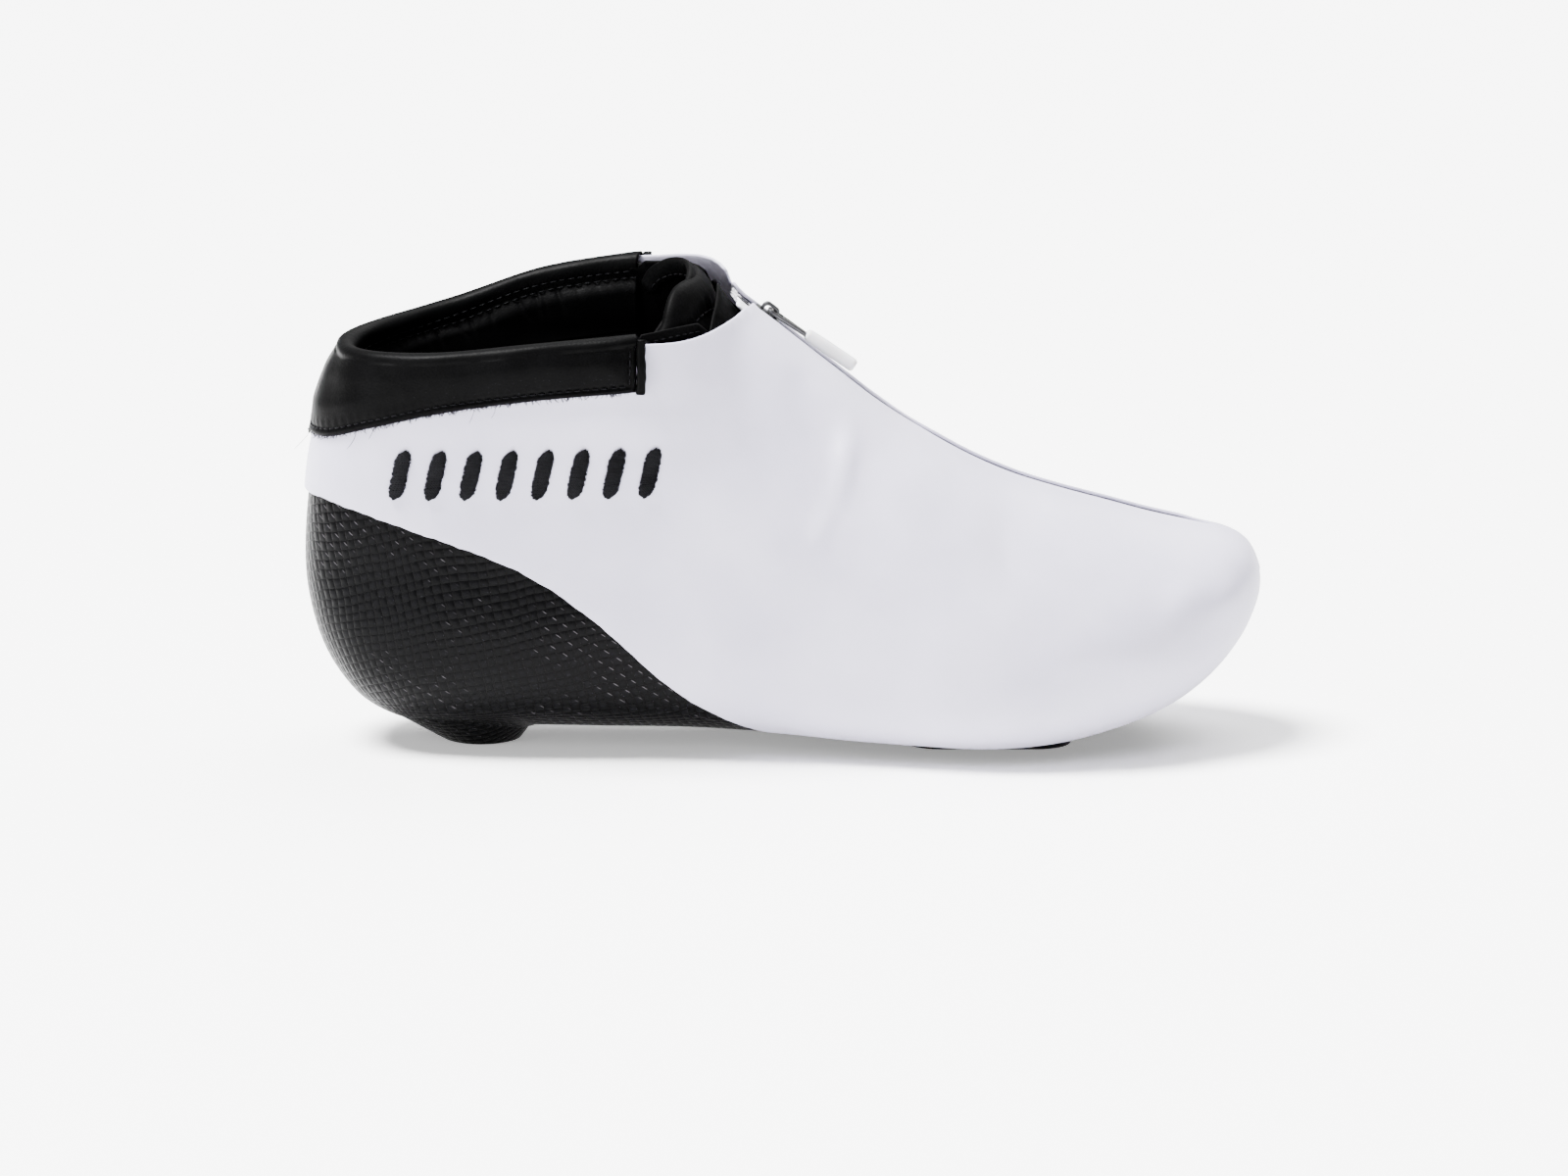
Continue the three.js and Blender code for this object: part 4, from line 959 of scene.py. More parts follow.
def level_curve(azimuth, z):
    """x of the point of the form at height z and azimuth (0 to the toe, pi at the heel)."""
    side = np.where(azimuth < 0, -1.0, 1.0)
    want = np.abs(azimuth)
    low = np.full(np.shape(z), -142.4)
    high = np.full(np.shape(z), -22.0)
    for _ in range(34):
        x = (low + high) / 2
        turn = side_turn(x, z, side)
        inside = (z > sole_line(x)) & (z < crest(x))
        y = np.abs(form_point(station_angle(x), turn)[..., 1])
        here = np.where(inside, np.arctan2(y, x - ANKLE_X), np.pi)
        low = np.where(here > want, x, low)
        high = np.where(here > want, high, x)
    return (low + high) / 2, side


def end_azimuth(z, side):
    x = np.full(np.shape(z), COLLAR_END)
    point = form_point(station_angle(x), side_turn(x, z, side))
    return side * np.arctan2(np.abs(point[..., 1]), COLLAR_END - ANKLE_X)


def collar_frame(s, z):
    """Point and normal of the form at height z and share s of the way round the horseshoe."""
    side = np.where(s < 0.5, -1.0, 1.0)
    start = np.abs(end_azimuth(z, side))
    blend = 1 - np.abs(2 * s - 1)
    azimuth = side * (start + (np.pi - start) * blend)
    x, side = level_curve(azimuth, z)
    x = np.where(blend < 1e-6, COLLAR_END, x)
    turn = side_turn(x, z, side)
    return form_point(station_angle(x), turn), form_normal(station_angle(x), turn)


def horseshoe_lines(count):
    s = np.linspace(0.0, 1.0, count)
    side = np.where(s < 0.5, -1, 1)
    low = np.full(count, 102.0)
    high = np.full(count, 122.0)
    for _ in range(6):
        x_low = collar_frame(s, low)[0][:, 0]
        x_high = collar_frame(s, high)[0][:, 0]
        low = collar_lower(x_low)
        high = np.where(side < 0, rim[-1](x_high), rim[1](x_high))
    kernel = np.ones(9) / 9
    high = np.convolve(np.pad(high, 4, mode="edge"), kernel, "valid")
    return s, low, high


def pleats(run):
    """Gathers of the padded lining under the rim's inner seam, as a function of the drop."""
    places = np.cumsum(RNG.uniform(2.0, 4.6, 90))
    places = places[places < run[-1]]
    count = len(places)
    depth, width = RNG.uniform(0.15, 0.85, count), RNG.uniform(0.45, 0.95, count)
    slant, reach = RNG.uniform(0.2, 0.8, count), RNG.uniform(4.0, 13.0, count)

    def value(drop):
        total = np.zeros(len(run))
        for place, d, w, lean, long in zip(places, depth, width, slant, reach):
            fade = float(smoothstep(drop, 2.6, 3.6) * (1 - smoothstep(drop, long * 0.4, long + 3)))
            lean = lean if place > run[-1] / 2 else -lean
            total += d * fade * np.exp(-((run - place - lean * drop) / w) ** 2)
        return total + 0.18 * np.sin(run * 0.21) * float(smoothstep(drop, 3, 10))
    return value


def collar_leather():
    count = 520
    s, low, high = horseshoe_lines(count)
    run = run_along(collar_frame(s, high - ROLL)[0])
    end = np.minimum(run, run[-1] - run)
    rows = []
    outer_rows, roll_rows, inner_rows = 34, 14, 26
    for n in range(outer_rows):
        q = n / outer_rows
        z = low + (high - ROLL - low) * q
        point, normal = collar_frame(s, z)
        edge = np.minimum(z - low, end)
        groove = 0.55 * np.exp(-((edge - 2.2) / 0.75) ** 2)
        pucker = 0.07 * np.sin(run * 2 * np.pi / 2.6) * np.exp(-((edge - 3.4) / 1.6) ** 2)
        pad = 1.15 * smoothstep(edge, 2.4, 9.0) * (1 - 0.6 * smoothstep(q, 0.7, 1.0))
        drape = 0.22 * np.sin(run * 0.16 + 2.2 * q) + 0.12 * np.sin(run * 0.41 - 3 * q)
        drape = drape * smoothstep(edge, 2.5, 8.0)
        out = 0.3 + 1.15 * smoothstep(edge, -0.1, 0.9) + pad - groove + pucker + drape
        rows.append(point + normal * out[:, None])
    point, normal = collar_frame(s, high - ROLL)
    flat = unit(normal * np.array([1.0, 1.0, 0.3]))
    outside, inside = 1.9, -INNER_LIP
    for n in range(roll_rows):
        theta = math.pi * n / (roll_rows - 1)
        out = (outside + inside) / 2 + (outside - inside) / 2 * math.cos(theta)
        up = np.array([0, 0, ROLL]) * max(math.sin(theta), 0.0) ** 0.9
        wave = 0.12 * np.sin(run * 0.23 + theta)
        rows.append(point + flat * (out + wave)[:, None] + up)
    folds = pleats(run)
    for n in range(1, inner_rows + 1):
        drop = 21.0 * n / inner_rows
        z = high - ROLL - drop
        base, face = collar_frame(s, z)
        seam = -0.5 * math.exp(-((drop - 2.8) / 0.5) ** 2)
        cushion = 2.4 * float(smoothstep(drop, 2.9, 8.0)) - 0.4 * float(smoothstep(drop, 12, 21))
        rows.append(base - face * (INNER_LIP + seam + cushion - folds(drop))[:, None])
    grid = np.array(rows)
    levels = len(grid)
    faces = [(i * count + j, i * count + j + 1, (i + 1) * count + j + 1, (i + 1) * count + j)
             for i in range(levels - 1) for j in range(count - 1)]
    obj = to_object("collar_leather", grid.reshape(-1, 3), faces)
    thick = obj.modifiers.new("thick", "SOLIDIFY")
    thick.thickness = 1.0 * MM
    thick.offset = 1.0 if obj.data.polygons[10].normal.y > 0 else -1.0
    apply_modifiers(obj)
    dress(obj, LEATHER, "boot", ["collar"])

    inset = 2.2
    point, normal = collar_frame(s, low + inset)
    keep = end > inset
    sew("collar_lower_stitches", (point + normal * 1.05)[keep], normal[keep])
    for side in (-1, 1):
        j = int(np.argmin(np.abs(end - inset) + (np.where(s < 0.5, -1, 1) != side) * 1e3))
        z = np.linspace(low[j] + 2.4, high[j] - ROLL, 40)
        point, normal = collar_frame(np.full(40, s[j]), z)
        sew(f"collar_end_stitches_{SIDE_NAME[side]}", point + normal * 1.15, normal)
    for drop, name in ((1.7, "upper"), (3.9, "lower")):
        base, face = collar_frame(s, high - ROLL - drop)
        inner = base - face * (INNER_LIP + 0.12 + 0.3 * (drop > 3))
        sew(f"collar_inner_stitches_{name}", inner, -face, **INNER_SEAM)
    frayed_edge(s, low)
    return obj


def frayed_edge(s, low):
    """Loose suede fibres along the cut lower edge of the collar."""
    paths = []
    for _ in range(520):
        at = RNG.uniform(0.005, 0.995)
        z = float(np.interp(at, s, low))
        point, normal = collar_frame(np.array([at]), np.array([z]))
        point, normal = point[0], normal[0]
        along = np.array([RNG.normal(0, 0.6), RNG.normal(0, 0.2), 0.0])
        length = RNG.uniform(0.4, 1.3) if RNG.uniform() < 0.97 else RNG.uniform(3, 6)
        drop = np.array([0, 0, -1.0]) + along * 0.8 + normal * RNG.uniform(-0.1, 0.35)
        t = np.linspace(0, 1, 5)[:, None]
        bend = np.array([RNG.normal(0, 0.5), 0, 0]) * t * t
        paths.append(point + normal * RNG.uniform(0.2, 1.2) + (drop * t + bend) * length
                     + np.array([0, 0, 0.3]))
    radii = RNG.uniform(0.05, 0.11, len(paths))
    fray = tubes("collar_fray", paths, radii, sides=4)
    return dress(fray, THREAD, "boot")


def collar_binding(side):
    """Folded strip that closes the collar's front end."""
    z = np.linspace(float(collar_lower(COLLAR_END)) - 0.2, float(rim[side](COLLAR_END)) - 1.6, 46)
    rows = []
    for level in z:
        x0 = COLLAR_END + 0.2 + 0.15 * math.sin(level * 0.5)
        point, normal = side_point(np.array([x0]), np.array([level]), side)
        point, normal = point[0], normal[0]
        ahead = np.array([1.0, 0.0, 0.0])
        across = 1.35 + 0.08 * math.sin(level * 1.7)
        ring = []
        for a in np.linspace(0, 2 * np.pi, 18, endpoint=False):
            out = 1.7 + 1.55 * math.sin(a) + 0.25 * math.cos(2 * a)
            ring.append(point + normal * max(out, 0.12) + ahead * (0.9 + across * math.cos(a)))
        rows.append(ring)
    rows = np.array(rows)
    faces = tube_faces(*rows.shape[:2])
    name = f"collar_binding_{SIDE_NAME[side]}"
    strip = outward_faces(to_object(name + "_fold", rows.reshape(-1, 3), faces))
    return dress(strip, LEATHER, "boot", [name])


# ------------------------------------------------------------------ inner upper
LACING_GAP = 12.0


def lacing(half, closing=0.0):
    """Keep clear of the lacing gap, which closes towards the ankle."""
    def gap(x):
        return half - closing * smoothstep(x, -34, -24) * (1 - smoothstep(x, -14, -6))
    return lambda p, q: np.where(
        (p[:, 0] > -72) & (p[:, 0] < 72) & (p[:, 2] > 40),
        np.abs(p[:, 1] - ridge_line(p[:, 0])) - gap(p[:, 0]), 9.0)


def off_sole(p, q):
    plan = foot_plan(UPPER_INSET, -1.0)
    return np.where(p[:, 2] > 30, 9.0, plan(p, q))


def quarter_panel(side):
    def top(p, q):
        under_rim = rim[side](p[:, 0]) - 3.9 - p[:, 2]
        return np.where(p[:, 0] < COLLAR_END + 1, under_rim, quarter_top[side](p[:, 0]) - p[:, 2])

    def relief(p, q):
        edge = quarter_top[side](p[:, 0]) - p[:, 2]
        near = (p[:, 0] > -44) & (p[:, 2] > 90)
        bead = 0.5 * np.exp(-((edge - 0.6) / 0.9) ** 2) - 0.3 * np.exp(-((edge - 2.2) / 0.5) ** 2)
        return np.where(near, bead, 0.0)
    name = f"quarter_{SIDE_NAME[side]}"
    panel = shell(name + "_skin", [side_of(side, 0.15), behind_of(70.0), top,
                                   lacing(LACING_GAP, 7.5 if side < 0 else 0.0),
                                   off_sole], QUARTER_OUT, QUARTER_IN, relief=relief)
    dress(panel, SOFT_LEATHER, "boot", [name])
    x = np.linspace(COLLAR_END + 3.0, -18.5, 60)
    z = quarter_top[side](x) - 2.1
    point, normal = side_point(x, z, side, QUARTER_OUT - 0.1)
    return sew(name + "_stitches", point, normal, pitch=2.4, length=1.7, radius=0.2)


def inner_vamp():
    skin = shell("inner_vamp_skin", [ahead_of(70.3), off_sole], QUARTER_OUT, QUARTER_IN)
    return dress(skin, SOFT_LEATHER, "boot", ["inner_vamp"])


LINING_DROP = 24.0  # from the rim down to the lining, where the collar's own lining ends
LINING_TOP = 112.0  # ahead of the collar


def lining():
    def top(p, q):
        line = np.where(p[:, 1] < ridge_line(p[:, 0]), rim[-1](p[:, 0]), rim[1](p[:, 0]))
        return np.where(p[:, 0] < COLLAR_END, line - LINING_DROP, LINING_TOP) - p[:, 2]

    def relief(p, q):
        return 0.25 * np.sin(p[:, 0] * 0.35 + p[:, 2] * 0.1) * np.sin(p[:, 2] * 0.22)
    skin = shell("lining_skin", [top, lacing(18.0), off_sole], LINING_OUT, LINING_IN, relief=relief)
    return dress(skin, LINING, "boot", ["lining"])


def footbed():
    plan = foot_plan(FOOTBED_INSET)
    inside = lambda p, q: np.where(p[:, 2] < 30, plan(p, q), -1.0)

    def relief(p, q):
        return 0.3 * np.cos(p[:, 0] * 0.05)
    skin = shell("footbed_cushion", [inside], FOOTBED_OUT, FOOTBED_IN, relief=relief)
    dress(skin, FOOTBED, "boot", ["footbed"])
    return skin


def ankle_pad(side):
    """Crowned foam pad on the lining beside the ankle bone."""
    def oval(p, q):
        reach = ((p[:, 0] + 80) / 16.4) ** 2 + ((p[:, 2] - 72) / 13.4) ** 2
        return np.where(np.sign(p[:, 1]) == side, 1 - np.sqrt(reach), -1.0)
    params, faces = clip(*base_patch(), oval)
    base, normal = surface(params)
    reach = np.clip(oval(base, params), 0, 1)
    crown = 3.1 * np.sqrt(np.clip(1 - (1 - reach) ** 2.6, 0, 1))
    top = base - normal * (LINING_IN + 0.25)
    low = top - normal * (0.35 + crown)[:, None]
    count = len(base)
    faces_out = [tuple(f) for f in faces] + [tuple(v + count for v in reversed(f)) for f in faces]
    faces_out += [(v, v + count, w + count, w) for v, w in border_edges(faces)]
    name = f"ankle_pad_{SIDE_NAME[side]}"
    pad = outward_faces(to_object(name + "_cushion", np.concatenate([top, low]), faces_out))
    dress(pad, LINING, "boot", [name])
    return pad


# ------------------------------------------------------------------ tongue
TONGUE_BACK = TONGUE_IN + 0.6  # the padding swells a little past the CAD model's
TONGUE_TOP = smooth_line([(-41, 117), (-36, 121.5), (-31, 128), (-27, 134), (-22, 138.8),
                          (-15, 141.2), (-5, 142), (8, 143), (18, 143.6), (24, 142.5), (29, 139),
                          (35, 130)])


def tongue_edge(p):
    """Distance from the tongue's sides, top and front end."""
    reach = np.where(p[:, 1] < ridge_line(p[:, 0]), 18.0, 6.5)
    half = 23.0 + reach * smoothstep(p[:, 2], 100, 120)
    across = half - np.abs(p[:, 1] - ridge_line(p[:, 0]))
    top = (TONGUE_TOP(p[:, 1]) - p[:, 2]) * 0.8
    nearest = np.minimum(across, top)
    corner = 5.0 - np.hypot(np.clip(5.0 - across, 0, 9), np.clip(5.0 - top, 0, 9))
    nearest = np.where((across < 5) & (top < 5) & (across > -3) & (top > -3), corner, nearest)
    return np.minimum(nearest, 64.0 - p[:, 0])


def tongue():
    side = lambda p, q: tongue_edge(p)
    upper = lambda p, q: np.minimum(p[:, 2] - 60.0, p[:, 0] + 60.0)

    def relief(p, q):
        edge = tongue_edge(p)
        wrinkles = 0.35 * np.sin(p[:, 2] * 0.55 + 0.9 * np.sin(p[:, 1] * 0.23))
        wrinkles = wrinkles * smoothstep(edge, 4, 9) * smoothstep(p[:, 2], 112, 124)
        return wrinkles - 0.9 * np.exp(-((edge - 5.4) / 0.9) ** 2) * 0.3

    def thickening(p, q):
        edge = tongue_edge(p)
        roll = 1.1 * np.sqrt(np.clip(1 - ((edge - 2.4) / 2.9) ** 2, 0, 1))
        return roll - 0.6 * np.exp(-((edge - 5.4) / 0.6) ** 2)
    skin = shell("tongue_skin", [side, upper], TONGUE_OUT, TONGUE_BACK, relief=relief,
                 thickening=thickening, rim_bulge=1.15)
    dress(skin, SOFT_LEATHER, "tongue", ["tongue"])
    seam = edge_line(6.2)
    for depth, sign, name in ((TONGUE_OUT, 1, "outer"), (TONGUE_BACK, -1, "inner")):
        base, normal = surface(seam)
        points = base - normal * (depth - sign * 0.05)
        sew(f"tongue_stitches_{name}", points, normal * sign, "tongue", **INNER_SEAM)
    return skin


def tongue_roll():
    """Bound leather edge that curls over the top of the tongue from side to side."""
    stations = [(-41.5, -26, 116), (-37.5, -24.5, 121.5), (-32.5, -20.5, 128), (-28, -13.5, 134),
                (-26, -4, 138), (-27, 7, 139.6), (-32, 16, 138.8), (-37.5, 22, 135.2),
                (-40, 24, 130.5)]
    tracks = [smooth_line([(n, s[axis]) for n, s in enumerate(stations)]) for axis in range(3)]
    t = np.linspace(0, len(stations) - 1, 96)
    path = np.stack([track(t) for track in tracks], axis=1)
    tangent = unit(np.gradient(path, axis=0))
    inward = np.array([-12.0, 2.0, 112.0]) - path
    inward = unit(inward - (inward * tangent).sum(1, keepdims=True) * tangent)
    outward = np.cross(inward, tangent)
    sides, half_wide, half_thick = 20, 3.3, 1.15
    turn = full_turn(sides)
    across = np.sign(np.cos(turn)) * np.abs(np.cos(turn)) ** 0.8 * half_wide
    through = np.sign(np.sin(turn)) * np.abs(np.sin(turn)) ** 0.8 * half_thick
    ease = np.clip(np.minimum(t, t[-1] - t) / 0.35, 0.0, 1.0) ** 0.5 * 0.6 + 0.4
    rings = (path[:, None, :] + ease[:, None, None] * (across[None, :, None] * inward[:, None, :]
             + through[None, :, None] * outward[:, None, :])).reshape(-1, 3)
    roll = outward_faces(to_object("tongue_roll", rings, tube_faces(len(path), sides)))
    dress(roll, SOFT_LEATHER, "tongue")
    for sign, name in ((1, "outer"), (-1, "inner")):
        points = path + 1.7 * inward + sign * 1.06 * outward
        sew(f"tongue_roll_stitches_{name}", points[4:-4], (sign * outward)[4:-4], "tongue",
            **INNER_SEAM)
    return roll


def edge_line(inset):
    """Parameters of the line this far inside the tongue's outline, from side to side."""
    params, faces = clip(*base_patch(), lambda p, q: np.where(
        (p[:, 2] > 96) & (p[:, 0] > -60), tongue_edge(p) - inset, -1.0))
    follow = dict(border_edges(faces))
    loop = [max(follow, key=lambda v: form_point(*params[v])[2])]
    while follow[loop[-1]] != loop[0] and len(loop) < len(follow):
        loop.append(follow[loop[-1]])
    loop = params[loop]
    points = surface(loop)[0]
    on_edge = np.abs(tongue_edge(points) - inset) < 0.4
    start = int(np.argmin(on_edge))
    loop, on_edge = np.roll(loop, -start, axis=0), np.roll(on_edge, -start)
    return loop[on_edge]


# ------------------------------------------------------------------ zip
def ridge_point(x, offset, depth):
    """Point near the ridge, offset sideways, depth under the form, and the ridge's normal."""
    x = np.asarray(x, float)
    angle = station_angle(x)
    turn = np.full(np.shape(x), np.pi)
    middle = form_point(angle, turn)
    step = 0.5
    slope = np.arctan2(crest(x + step) - crest(x - step), 2 * step)
    normal = np.stack([-np.sin(slope), np.zeros_like(x), np.cos(slope)], -1)
    point = middle - normal * np.asarray(depth)[..., None]
    point = point + np.stack([np.zeros_like(x), np.broadcast_to(offset, np.shape(x)),
                              np.zeros_like(x)], -1)
    return point, normal


def run_stations(x0, x1, pitch):
    """Stations along the ridge at equal distances measured along it."""
    fine = np.linspace(x0, x1, 2000)
    run = run_along(ridge_point(fine, 0.0, 0.0)[0])
    return np.interp(np.arange(0, run[-1], pitch), run, fine)


def zip_teeth(side):
    paths = []
    stations = run_stations(ZIP_TOP + 2.6, ZIP_END - 2.6, 1.25)
    for x in stations + (0.0 if side < 0 else 0.5):
        path = []
        for offset, depth, along in ((0.35, 2.2, 0.0), (0.45, 1.75, 0.0), (1.2, 1.6, 0.0),
                                     (2.2, 1.65, 0.05), (2.75, 2.1, 0.15), (2.3, 2.6, 0.3)):
            point, _ = ridge_point(np.array([x + along]), side * offset, np.array([depth]))
            path.append(point[0])
        paths.append(path)
    name = f"zip_chain_{SIDE_NAME[side]}"
    coil = tubes(name + "_coil", paths, 0.3, sides=6)
    return dress(coil, COIL, "boot", [name])


def zip_tape(side):
    """Woven tape beside the teeth, its top end cut and frayed."""
    stations = run_stations(ZIP_TOP, ZIP_END, 1.5)
    across = np.linspace(3.1, 9.0, 7)
    top, low = [], []
    for x in stations:
        for offset in across:
            turn_y = ridge_line(x) + side * offset
            point, normal = on_top(x, turn_y)
            top.append(point - normal * (CARBON_OUT + 0.05))
            low.append(point - normal * (CARBON_OUT + 0.6))
    columns = len(across)
    count = len(top)
    faces = []
    for i in range(len(stations) - 1):
        for j in range(columns - 1):
            a, b = i * columns + j, (i + 1) * columns + j
            faces.append((a, b, b + 1, a + 1))
            faces.append(tuple(v + count for v in (a + 1, b + 1, b, a)))
    border = [(i * columns, (i + 1) * columns) for i in range(len(stations) - 1)]
    border += [((i + 1) * columns - 1, (i + 2) * columns - 1) for i in range(len(stations) - 1)]
    last = (len(stations) - 1) * columns
    border += [(j, j + 1) for j in range(columns - 1)]
    border += [(last + j, last + j + 1) for j in range(columns - 1)]
    faces += [(a, b, b + count, a + count) for a, b in border]
    name = f"zip_tape_{SIDE_NAME[side]}"
    tape = outward_faces(to_object(name + "_weave", np.array(top + low), faces))
    dress(tape, TAPE, "boot", [name])
    hairs = []
    for _ in range(26):
        offset = RNG.uniform(0.6, 8.0)
        point, normal = on_top(ZIP_TOP, ridge_line(ZIP_TOP) + side * offset)
        start = point - normal * 1.6
        up = np.array([-0.55, RNG.normal(0, 0.25), 0.8]) * RNG.uniform(0.8, 2.4)
        t = np.linspace(0, 1, 5)[:, None]
        hairs.append(start + up * t + np.array([RNG.normal(0, 0.4), RNG.normal(0, 0.4), 0]) * t * t)
    fringe = tubes(name + "_fringe", hairs, 0.14, sides=5)
    return dress(fringe, TAPE, "boot")


def on_top(x, y):
    """Point and normal of the form's upper side at plan position (x, y)."""
    angle = station_angle(x)
    side = -1.0 if y < ridge_line(x) else 1.0
    low, high = 0.0, np.pi / 2
    for _ in range(30):
        lift = (low + high) / 2
        turn = np.pi - lift if side < 0 else np.pi + lift
        reach = abs(float(form_point(angle, turn)[1]) - float(ridge_line(x)))
        if reach < abs(y - float(ridge_line(x))):
            low = lift
        else:
            high = lift
    return form_point(angle, turn), form_normal(angle, turn)


joints = {joint["name"]: joint for joint in frame["joints"]}
RUN_AXIS = Vector(joints["zip_slide"]["axis"]).normalized()
PULL_PIVOT = Vector(joints["pull_hinge"]["pos_m"])
RUN_NORMAL = Vector((-RUN_AXIS.z, 0.0, RUN_AXIS.x)).normalized()
RUN_SIDE = RUN_NORMAL.cross(RUN_AXIS)
PIN_HEIGHT = 1.05 * MM  # pull pivot above the cover's outer face
PULL_LIFT = 0.06


def run_matrix(origin, lift=0.0):
    basis = Matrix((RUN_AXIS, RUN_SIDE, RUN_NORMAL)).transposed().to_4x4()
    return Matrix.Translation(origin) @ basis @ Matrix.Rotation(-lift, 4, "Y")


def small_object(name, vertices, faces):
    mesh = bpy.data.meshes.new(name)
    mesh.from_pydata([[c * MM for c in v] for v in vertices], [], faces)
    return outward_faces(add_object(name, mesh))


def bevelled(name, vertices, faces, matrix, width, segments=3):
    """A small hard piece with rounded edges, given in millimetres in its own frame."""
    obj = small_object(name, vertices, faces)
    bevel = obj.modifiers.new("bevel", "BEVEL")
    bevel.width = width * MM
    bevel.segments = segments
    bevel.limit_method = "ANGLE"
    bevel.angle_limit = math.radians(28)
    apply_modifiers(obj)
    obj.data.transform(matrix)
    return obj


def prism(outline, axis, low, high):
    """Vertices and faces of an outline extruded along axis 1 (y) or 2 (z)."""
    n = len(outline)
    vertices = []
    for level in (low, high):
        for a, b in outline:
            vertices.append((a, level, b) if axis == 1 else (a, b, level))
    faces = [tuple(range(n)), tuple(n + k for k in reversed(range(n)))]
    faces += [(k, (k + 1) % n, n + (k + 1) % n, n + k) for k in range(n)]
    return vertices, faces


def join(name, pieces):
    with bpy.context.temp_override(active_object=pieces[0], selected_editable_objects=pieces):
        bpy.ops.object.join()
    pieces[0].name = name
    return pieces[0]


def zip_slider():
    matrix = run_matrix(PULL_PIVOT - RUN_NORMAL * PIN_HEIGHT)
    half, length = 3.7, 8.5
    outline = [(-length / 2, 2.6), (-length / 2 + 1.0, 3.4), (0.5, half), (length / 2 - 1.6, half),
               (length / 2 - 0.3, 2.6), (length / 2, 1.2)]
    outline += [(x, -y) for x, y in reversed(outline)]
    top = 0.05
    pieces = [bevelled("plate", *prism(outline, 2, -0.85, top), matrix, 0.28),
              bevelled("base", *prism(outline, 2, -4.25, -3.35), matrix, 0.25)]
    post = [(-length / 2 + 0.5, -0.3), (-length / 2 + 3, -0.3), (-length / 2 + 3, 0.3),
            (-length / 2 + 0.5, 0.3)]
    pieces.append(bevelled("post", *prism(post, 2, -3.5, -0.6), matrix, 0.05, 1))
    reach, wall = 2.9, 0.95
    roof = top + 2.0 + wall
    outer = [(-reach, 0.0), (-reach, roof - 1.3), (-reach + 0.5, roof - 0.4), (-reach + 1.3, roof),
             (reach - 1.3, roof), (reach - 0.5, roof - 0.4), (reach, roof - 1.3), (reach, 0.0)]
    inner = [(reach - wall, 0.0), (reach - wall, roof - wall - 0.7),
             (reach - wall - 0.7, roof - wall),
             (-reach + wall + 0.7, roof - wall), (-reach + wall, roof - wall - 0.7),
             (-reach + wall, 0.0)]
    pieces.append(bevelled("bridge", *prism(outer + inner, 1, -1.1, 1.1), matrix, 0.3))
    slider = join("slider_body", pieces)
    return dress(slider, ZINC, "slider", ["zip_slider"])


def zip_pull():
    matrix = run_matrix(PULL_PIVOT, PULL_LIFT)
    reach, half = 4.6, 2.8
    hole_half = 1.65
    bar = 0.7
    ring_out = [(-bar, -half + 0.8), (-bar + 0.8, -half), (reach, -half), (13.5, -1.5), (13.5, 1.5),
                (reach, half), (-bar + 0.8, half), (-bar, half - 0.8)]
    ring_in = [(bar, -hole_half), (bar, hole_half), (reach, hole_half), (reach, -hole_half)]
    wall = 0.6
    frame_piece = bevelled("pull_frame", *prism(ring_out, 2, -wall, wall), matrix, 0.3)
    cut_away(frame_piece, bevelled("pull_hole", *prism(ring_in, 2, -3, 3), matrix, 0.35, 2))
    dress(frame_piece, ZINC, "pull", ["zip_pull"])
    rings = []
    count = 28
    length = 17.4
    for t in np.linspace(0, 1, 26):
        taper = 0.86 + 0.14 * math.sin(min(t * 2.2, 1.0) * math.pi / 2)
        near_end = min(t, 1 - t) / 0.035
        cap = math.sqrt(max(1 - (1 - near_end) ** 2, 0.0)) if near_end < 1 else 1.0
        cap = max(cap, 0.72)
        ring = []
        for a in full_turn(count):
            c, s = math.cos(a), math.sin(a)
            power = 2.6
            scale = (abs(c) ** power + abs(s) ** power) ** (-1 / power)
            ring.append((12.6 + length * t, 2.45 * c * scale * taper * cap,
                         0.35 + 1.95 * s * scale * taper * cap))
        rings.append(ring)
    vertices = [v for ring in rings for v in ring]
    sleeve = small_object("pull_sleeve_tube", vertices, tube_faces(len(rings), count))
    for polygon in sleeve.data.polygons:
        polygon.use_smooth = len(polygon.vertices) == 4
    sleeve.data.transform(matrix)
    return dress(sleeve, SLEEVE, "pull", ["zip_pull_sleeve"])


# ------------------------------------------------------------------ embroidery
MOTIF_COUNT, MOTIF_PITCH, MOTIF_HEIGHT, MOTIF_HALF = 8, 10.4, 14.4, 2.25
MOTIF_X, MOTIF_Z = -111.0, 85.5


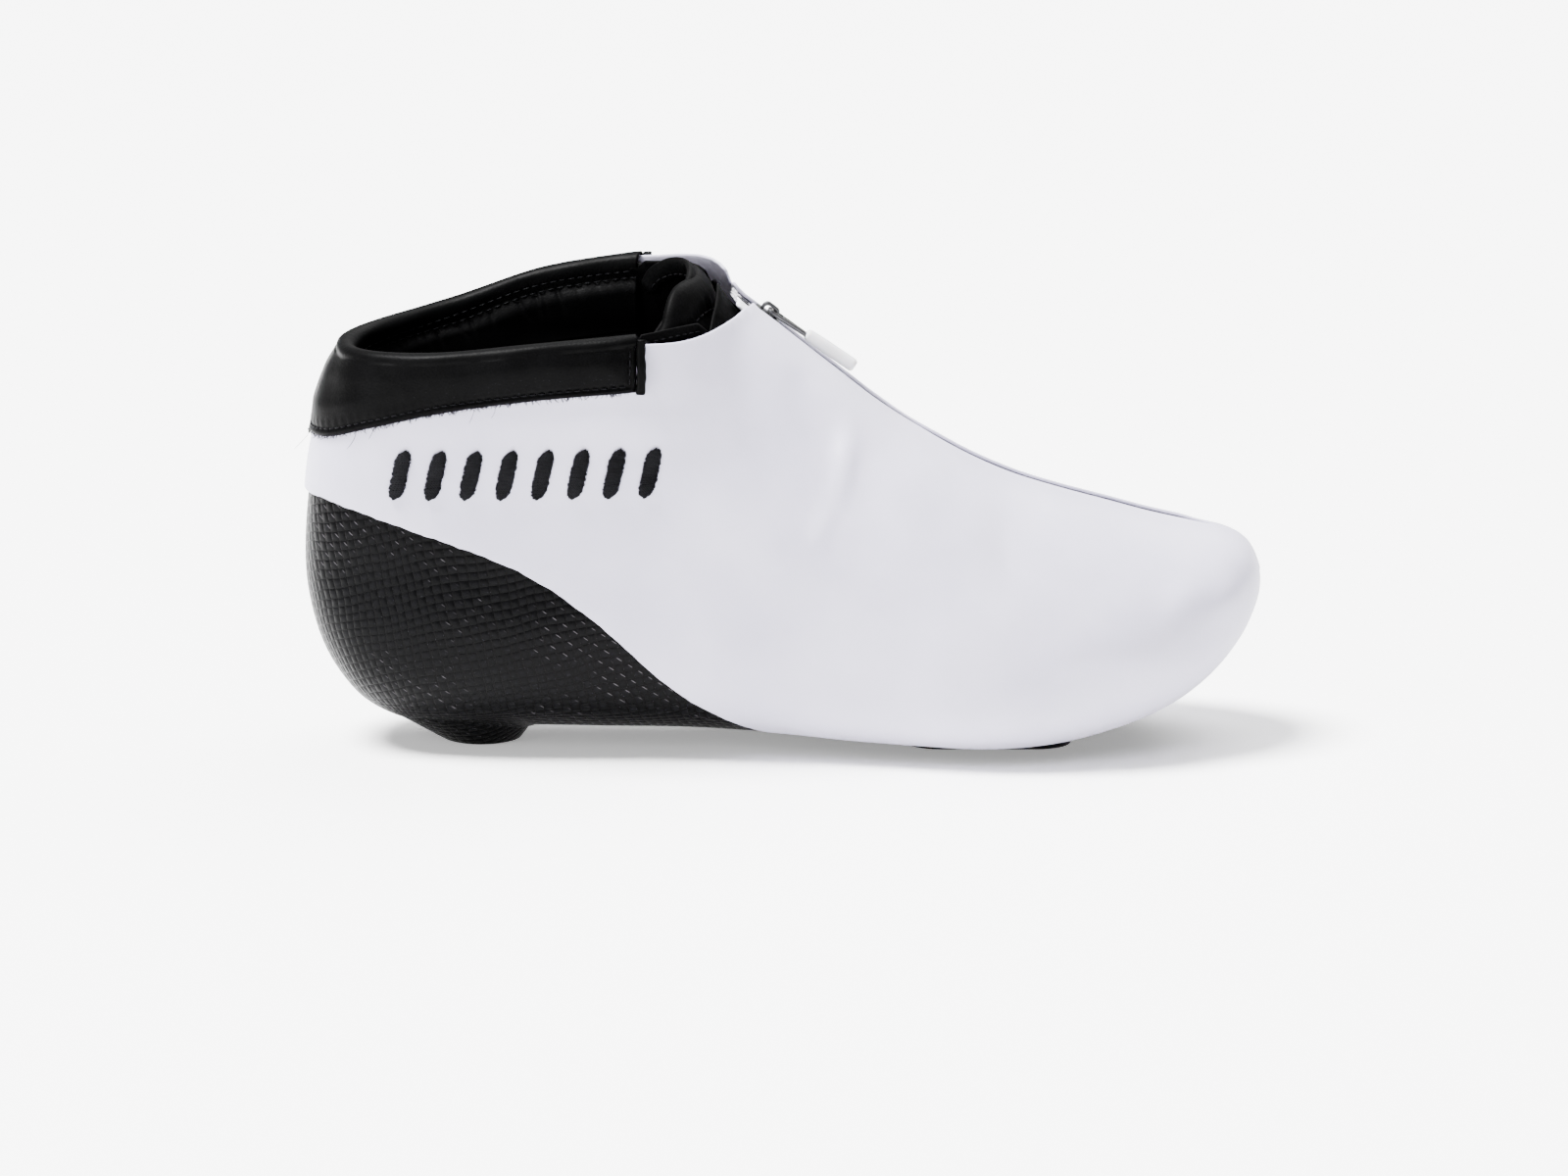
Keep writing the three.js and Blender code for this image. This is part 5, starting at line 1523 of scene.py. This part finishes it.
def embroidery():
    """A row of slanted lozenges in satin stitch, one thread beside the next."""
    for n in range(MOTIF_COUNT):
        x0 = MOTIF_X + n * MOTIF_PITCH
        z0 = MOTIF_Z + (x0 - MOTIF_X) * 0.02
        paths = []
        rows = 37
        for row in range(rows):
            t = row / (rows - 1)
            z = z0 - MOTIF_HEIGHT / 2 + MOTIF_HEIGHT * t
            middle = x0 + 3.2 * (t - 0.5)
            round_end = math.sqrt(max(1 - abs(2 * t - 1) ** 5, 0.02))
            left = middle - MOTIF_HALF * round_end - RNG.uniform(0.0, 0.45)
            right = middle + MOTIF_HALF * round_end + RNG.uniform(0.0, 0.45)
            k = np.linspace(0, 1, 8)
            x = left + (right - left) * k
            level = z + 0.5 * (k - 0.5) + RNG.normal(0, 0.04)
            point, normal = side_point(x, level, -1)
            rise = 0.12 + 0.62 * np.sin(k * math.pi) ** 0.6
            paths.append(point + normal * rise[:, None])
        thread = tubes(f"embroidery_{n + 1}_satin", paths, RNG.uniform(0.27, 0.32, rows), sides=6)
        dress(thread, THREAD, "boot", [f"embroidery_{n + 1}"])


# ------------------------------------------------------------------ kept CAD nodes
def paint_kept():
    paints = {"insole_board": BOARD, "collar_foam": FOAM, "zip_bottom_stop": ZINC,
              "zip_top_stop_lateral": ZINC, "zip_top_stop_medial": ZINC}
    for node, obj in frame["nodes"].items():
        if obj.hide_render:
            continue
        material = paints.get(node, STEEL if node.startswith(("insert", "eyelet")) else None)
        if material:
            for slot in obj.material_slots:
                slot.material = material


# ------------------------------------------------------------------ stage
def stage():
    mesh = bpy.data.meshes.new("floor")
    half = 6.0
    corners = [(-half, -half, 0), (half, -half, 0), (half, half, 0), (-half, half, 0)]
    mesh.from_pydata(corners, [], [(0, 1, 2, 3)])
    floor = add_object("floor", mesh)
    mesh.materials.append(floor_material())
    world = bpy.data.worlds.new("studio")
    bpy.context.scene.world = world
    world.use_nodes = True
    background = world.node_tree.nodes["Background"]
    background.inputs[0].default_value = (1.0, 1.0, 1.0, 1.0)
    background.inputs[1].default_value = 0.55
    sun_light("overhead", (-0.42, -0.05, 1.0), 26.0, 22.0)
    sun_light("back", (0.4, 0.9, 1.3), 50.0, 4.0)
    area_light("front", (-1.3, -1.3, 0.8), (0.5, 0.9), 16.0)


make_camera()
stage()
carbon_shell()
heel_foot()
ball_foot()
for foot_side in (-1, 1):
    cover_panel(foot_side)
    quarter_panel(foot_side)
    ankle_pad(foot_side)
    collar_binding(foot_side)
    zip_teeth(foot_side)
    zip_tape(foot_side)
inner_vamp()
lining()
footbed()
tongue()
tongue_roll()
collar_leather()
zip_slider()
zip_pull()
embroidery()
paint_kept()

bpy.context.view_layer.update()
